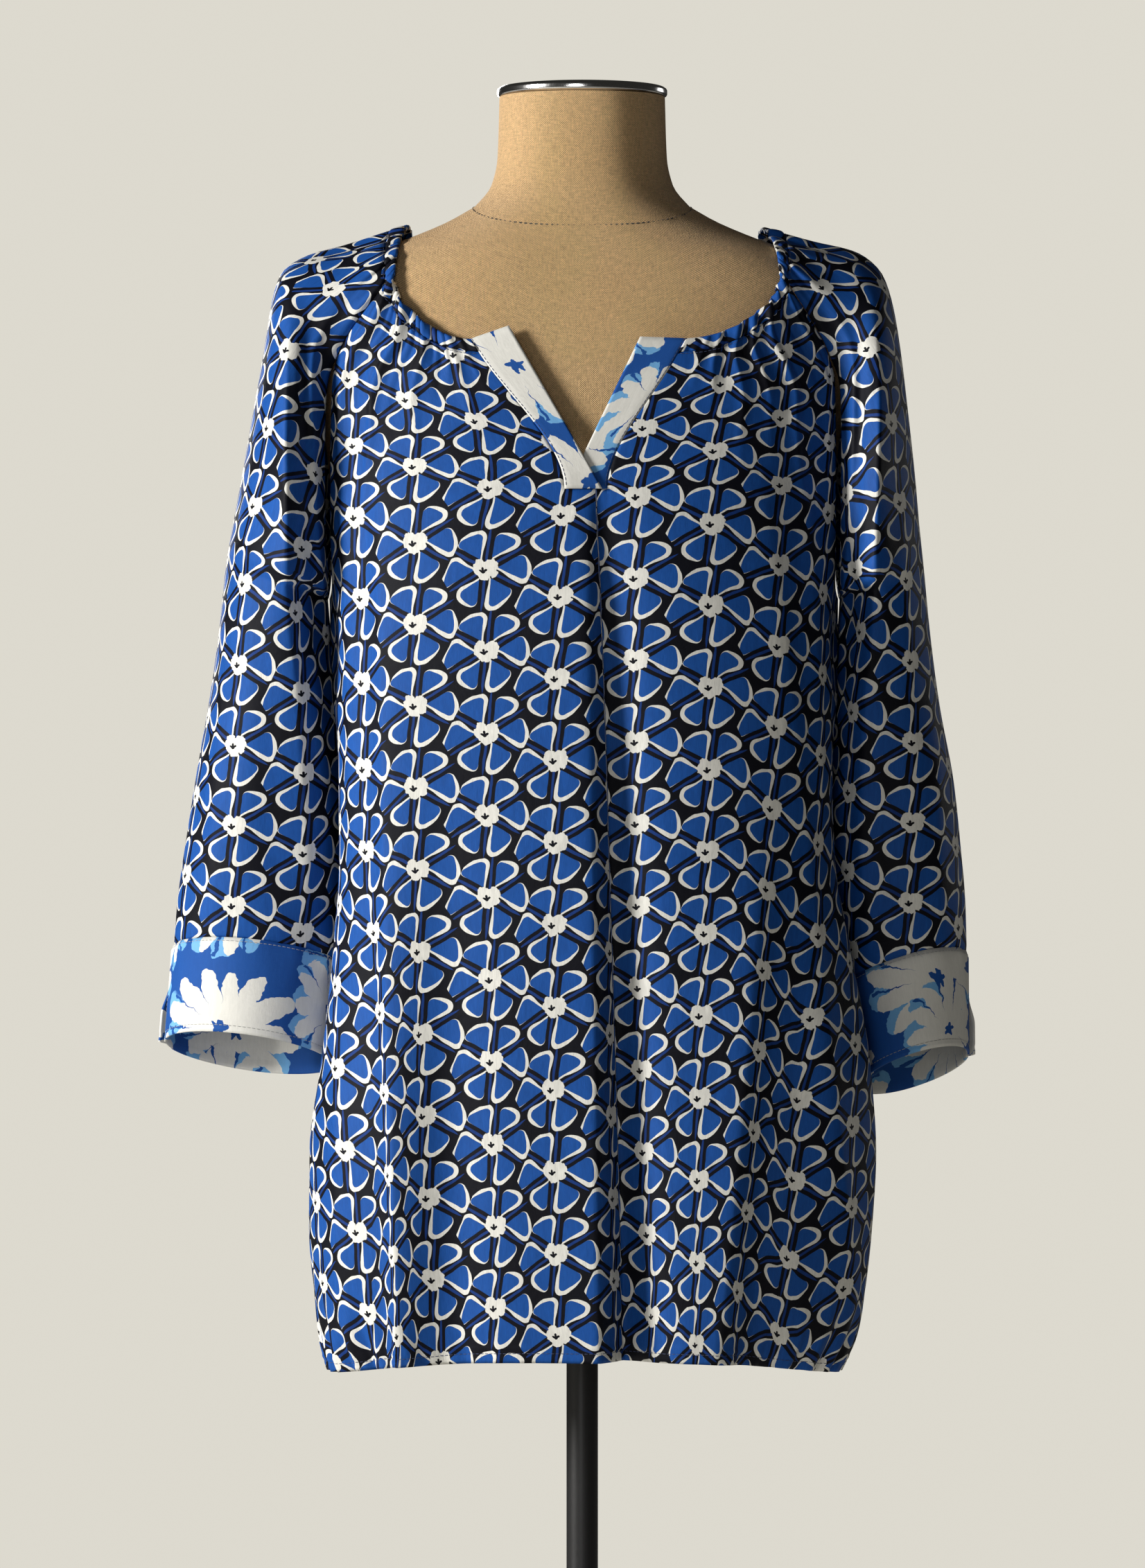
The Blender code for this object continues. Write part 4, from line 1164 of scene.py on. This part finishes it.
def front_cut(grid):
    """p is the way across from the middle column, with what the pleat and the folds take up; above the
    slit it keeps to upright lines."""
    across, x, z = lengths(grid, 1), grid[..., 0], grid[..., 2]
    p, q = across - across[:, [HALF_CELLS + MIDDLE_CELLS // 2]], upward(z)
    for i in range(ROWS_TO_SLIT):
        p[i] = np.interp(x[i], np.maximum.accumulate(x[ROWS_TO_SLIT]), p[ROWS_TO_SLIT])
    beyond_pleat = np.arange(grid.shape[1]) > PLEAT_COLUMN
    right = taken_up(TAKEN_RIGHT, TAKEN_RIGHT_AT, x, z) + PLEAT_TAKES[0]
    p += np.where(beyond_pleat, right, taken_up(TAKEN_LEFT, TAKEN_LEFT_AT, x, z))
    # The cloth is drawn up a little towards the sides.
    rise = 0.008 * ramp(x, 0.09, 0.03) + 0.011 * ramp(x, 0.113, 0.02) * ramp(-z, -1.05, 0.1)
    left_rise = 0.0015 + 0.0055 * ramp(-x, 0.11, 0.02) * ramp(-z, -1.15, 0.1)
    q += np.where(beyond_pleat, PLEAT_TAKES[1] + rise, left_rise)
    return np.dstack([p, q]) + FRONT_SHIFT


def seam_relief(grid):
    """Both side edges dip into their seams, half as deep from the underarm down."""
    across = lengths(grid, 1)
    relief = dip(across, SEAM_DEEP, SEAM_WIDE) + dip(across[:, [-1]] - across, SEAM_DEEP, SEAM_WIDE)
    relief[UNDERARM_ROW:] *= 0.5
    return relief


def down_and_across(grid):
    """The flat cut of a grid with little shape: the ways along its rows and down its columns."""
    across, down = lengths(grid, 1), lengths(grid, 0)
    return across, down, np.dstack([across, -down])


front_lists, back_lists = front_rows(), back_rows()
front, back = array_of(front_lists), array_of(back_lists)
sleeve_lists = {side: sleeve_rows(side, SLEEVE_AT, ARCH_CELLS) for side in (-1, 1)}
binding = array_of(binding_rows(front_lists, back_lists, sleeve_lists[-1], sleeve_lists[1]))


def in_opening(i, j):
    return i < ROWS_TO_SLIT and HALF_CELLS <= j < HALF_CELLS + MIDDLE_CELLS


def make_front():
    relief = seam_relief(front) + hem_relief(front)
    piece, shaped = draw("front", front, relief, front_cut(front), PRINT, CLOTH, in_opening)
    stitches = [sewn("front_hem_stitches", line_from_edge(shaped, HEM_STITCH_AT, last=True))]
    columns = {"left": slice(2, HALF_CELLS - 1), "right": slice(HALF_CELLS + MIDDLE_CELLS + 2, -2)}
    for name, part in columns.items():
        line = line_from_edge(shaped[:, part], NECK_STITCH_AT)
        stitches.append(sewn("front_neck_stitches_" + name, line))


def make_back():
    piece, shaped = draw("back", back, seam_relief(back) + hem_relief(back), back_cut(back), PRINT, CLOTH)
    hem = sewn("back_hem_stitches", line_from_edge(shaped, HEM_STITCH_AT, last=True))
    sewn("back_neck_stitches", line_from_edge(shaped[:, 2:-2], NECK_STITCH_AT))


def make_sleeve(side):
    grid = array_of(sleeve_lists[side])
    coarse_at = SLEEVE_AT[::3] + [SLEEVE_AT[-1]] * (len(SLEEVE_AT) % 3 != 1)
    coarse = flatten(array_of(sleeve_rows(side, coarse_at, COARSE_CELLS)))
    flat = stretch_to(coarse, coarse_at, shares(COARSE_CELLS), SLEEVE_AT, shares(ARCH_CELLS))
    flat -= flat[-1, ARCH_CELLS // 2]
    relief = seam_relief(grid) + dip(lengths(grid[::-1], 0)[::-1], 0.0008, 0.002)
    node = "sleeve_" + name_of(side)
    piece, shaped = draw(node, grid, relief, flat + SLEEVE_SHIFT[side], PRINT, CLOTH)
    sewn(node + "_neck_stitches", line_from_edge(shaped[:, 3:-3], NECK_STITCH_AT))


def make_cuff(side):
    grid = array_of(cuff_rows(side))
    across, down, flat = down_and_across(grid)
    relief = dip(down[[-1]] - down - CUFF_HEM_STITCH_AT, 0.0004, 0.0008) + dip(down, 0.0006, 0.0012)
    relief += 0.0007 * (down > 0.0006)
    relief += CUFF_RIPPLE * np.sin(across * 210 + 3 * np.sin(across * 47)) * np.exp(-down / 0.018)
    node = "cuff_" + name_of(side)
    piece, shaped = draw(node, grid, relief, flat + CUFF_SHIFT[side], CONTRAST, CUFF_CLOTH)
    for part, at, axis, last in (
        ("top", CUFF_TOP_STITCH_AT, 0, False), ("hem", CUFF_HEM_STITCH_AT, 0, True),
        ("vent", VENT_STITCH_AT, 1, False), ("vent_back", VENT_STITCH_AT, 1, True),
    ):
        line = line_from_edge(shaped, at, axis, last)
        if axis:  # the vent's stitches are beside its opening alone
            line = [values[len(values) // 3 : -2] for values in line]
        sewn(f"{node}_{part}_stitches", line, CUFF_THREAD, CUFF_CLOTH)


def make_placket(side):
    grid = array_of(placket_rows(side, front_lists))
    across, _, flat = down_and_across(grid)
    from_sewn = across if side < 0 else across[:, [-1]] - across
    relief = 0.0004 * ramp(from_sewn, 0, 0.0008) + dip(from_sewn - 0.0016, 0.0003, 0.0006)
    node = "placket_" + name_of(side)
    piece, shaped = draw(node, grid, relief, flat + PLACKET_SHIFT[side], CONTRAST, PLACKET_CLOTH)
    line = line_from_edge(shaped, BAND_STITCH_AT, 1, side > 0)
    sewn(node + "_stitches", line, BAND_THREAD, PLACKET_CLOTH)


def make_binding():
    """A rolled strip, gathered along its lower edge."""
    across, down, _ = down_and_across(binding)
    across = np.repeat(across[[BINDING_CELLS]], len(binding), axis=0)
    up = 1 - down / BINDING_WIDE
    relief = BINDING_ROLL * np.sqrt(np.clip(1 - (1 - 2 * up) ** 2, 0, 1)) - 0.0002
    gathers = np.sin(across * 620 + 2.2 * np.sin(across * 97))
    relief += BINDING_GATHER * gathers * np.exp(-((up / 0.5) ** 2))
    flat = np.dstack([across, -down])
    draw("neck_binding", binding, relief, flat, PRINT, BINDING_CLOTH, offset=-0.6)[0]


# ---- The dress form ----
FORM_ROWS, FORM_CELLS = 210, 160
NECK_SEAM_DEEP, NECK_SEAM_WIDE, NECK_STITCHES = 0.0009, 0.0016, 240


def turned_grid(profile, cells):
    """A turned surface from (radius, height) pairs from the top down, closed round its seam."""
    angles = [2 * math.pi * j / cells for j in range(cells + 1)]
    return np.array([[(r * math.sin(a), -r * math.cos(a), z) for a in angles] for r, z in profile])


def rounded(profile, radius, cells=4):
    """A profile with its inner corners rounded."""
    out = [profile[0]]
    for before, corner, after in zip(profile, profile[1:], profile[2:]):
        a, c, b = Vector(before), Vector(corner), Vector(after)
        reach = min(radius, (a - c).length / 2.2, (b - c).length / 2.2)
        start, end = c + (a - c).normalized() * reach, c + (b - c).normalized() * reach
        out += [tuple(start.lerp(c, t).lerp(c.lerp(end, t), t)) for t in shares(cells)]
    return out + [profile[-1]]


def make_turned(name, profile, cells, finish, node):
    grid = turned_grid(profile, cells)
    place(name, weld(make_mesh(name, grid, down_and_across(grid)[2]), 50, face_out=True), finish, node)


def neck_seam_z(angle):
    """The height of the seam round the neck's foot."""
    return 1.4035 - 0.0055 * math.cos(angle) + 0.0105 * math.sin(angle) ** 2


def form_point(angle, z):
    """A point of the padded form, and the way outwards."""
    side, ahead = math.sin(angle), math.cos(angle)
    deep = read(FORM, "front" if ahead > 0 else "back", z)
    x = read(FORM, "wide", z) * power(side, 2 / FORM_SQUARE)
    y = -deep * power(ahead, 2 / FORM_SQUARE)
    return Vector((x, y, z)), Vector((x, y, 0)).normalized()


def make_form():
    grid = []
    for z in np.linspace(NECK_TOP_Z, FORM_BOTTOM_Z, FORM_ROWS):
        row = []
        for j in range(FORM_CELLS + 1):
            angle = 2 * math.pi * j / FORM_CELLS - math.pi
            point, away = form_point(angle, z)
            row.append(point - away * (NECK_SEAM_DEEP * hump(z - neck_seam_z(angle), NECK_SEAM_WIDE)))
        grid.append(row)
    grid = array_of(grid)
    caps = [np.array([grid[end] * (k, k, 1) for k in (0.75, 0.5, 0.25, 0.0)]) for end in (0, -1)]
    closed = np.concatenate([caps[0][::-1], grid, caps[1]])
    around, down, _ = down_and_across(closed)
    flat = np.dstack([around - around[:, [FORM_CELLS // 2]], -down])
    place("form_linen", weld(make_mesh("form_linen", closed, flat), 60), LINEN, "form_body")
    angles = [2 * math.pi * t for t in shares(NECK_STITCHES)]
    seam = [form_point(angle, neck_seam_z(angle)) for angle in angles]
    path = [point - away * NECK_SEAM_DEEP for point, away in seam]
    outs = [away for _, away in seam]
    stitch_line("form_neck_stitches", path, outs, FORM_THREAD, 0.0034, 0.0022, 0.0005, 0.0003)


def make_stand():
    foot = NECK_TOP_Z + SEAM_GAP
    top = foot + CAP_TALL
    cap = [(0.0, top + 0.0015), (CAP_RADIUS * 0.6, top + 0.0015), (CAP_RADIUS - 0.0022, top + 0.0003)]
    cap += [(CAP_RADIUS, top - 0.0012), (CAP_RADIUS, foot + 0.0012), (CAP_RADIUS - 0.0016, foot), (0.0, foot)]
    make_turned("cap_chrome", rounded(cap, 0.0011), 128, CHROME, "form_cap")
    top, foot = FORM_BOTTOM_Z - SEAM_GAP, BASE_TALL + HUB_TALL + SEAM_GAP
    pole = [(0.0, top)] + [(POLE_RADIUS, mix(top, foot, t)) for t in shares(12)] + [(0.0, foot)]
    make_turned("pole_steel", pole, 64, BLACK, "form_pole")
    plate = [(0.0, BASE_TALL), (BASE_RADIUS, BASE_TALL), (BASE_RADIUS, 0.0), (0.0, 0.0)]
    make_turned("base_steel", rounded(plate, 0.003), 144, BLACK, "form_base")
    low, high = BASE_TALL + SEAM_GAP, BASE_TALL + HUB_TALL
    hub = [(0.0, high), (HUB_RADIUS, high), (HUB_RADIUS, low), (0.0, low)]
    make_turned("hub_steel", rounded(hub, 0.003), 96, BLACK, "form_hub")


# ---- Floor and backdrop ----
FLOOR_Z = -0.0004


def make_stage():
    """A round pale floor."""
    grid = turned_grid([(radius, FLOOR_Z) for radius in (0.0, 0.5, 1.0, 2.0, 3.0, 4.2)], 96)
    mesh = make_mesh("floor", grid, grid[..., :2])
    material, shader, p, q = new_material("floor", 0.85, specular=0.2)
    colour = blend_colours(speckle(p, q, 1.3, 3.0), (0.60, 0.585, 0.53), (0.64, 0.62, 0.565))
    feed(shader.inputs["Base Color"], colour)
    mesh.materials.append(material)
    link("floor", mesh)


def make_world():
    """A pale surround behind the object that gives only a little light."""
    SCENE.world = bpy.data.worlds.new("world")
    SCENE.world.use_nodes = True
    tree = SCENE.world.node_tree
    dim = tree.nodes["Background"]
    dim.inputs["Color"].default_value = (0.74, 0.72, 0.66, 1)
    dim.inputs["Strength"].default_value = 0.035
    pale = add_node(tree, "Background", {"Color": (0.722, 0.697, 0.622, 1)})
    seen = add_node(tree, "LightPath", {}).outputs["Is Camera Ray"]
    joined = add_node(tree, "MixShader", {0: seen, 1: dim.outputs[0], 2: pale.outputs[0]})
    feed(tree.nodes["World Output"].inputs["Surface"], joined.outputs[0])


make_stage()
make_world()
make_front()
make_back()
make_binding()
for side in (-1, 1):
    make_sleeve(side)
    make_cuff(side)
    make_placket(side)
make_form()
make_stand()
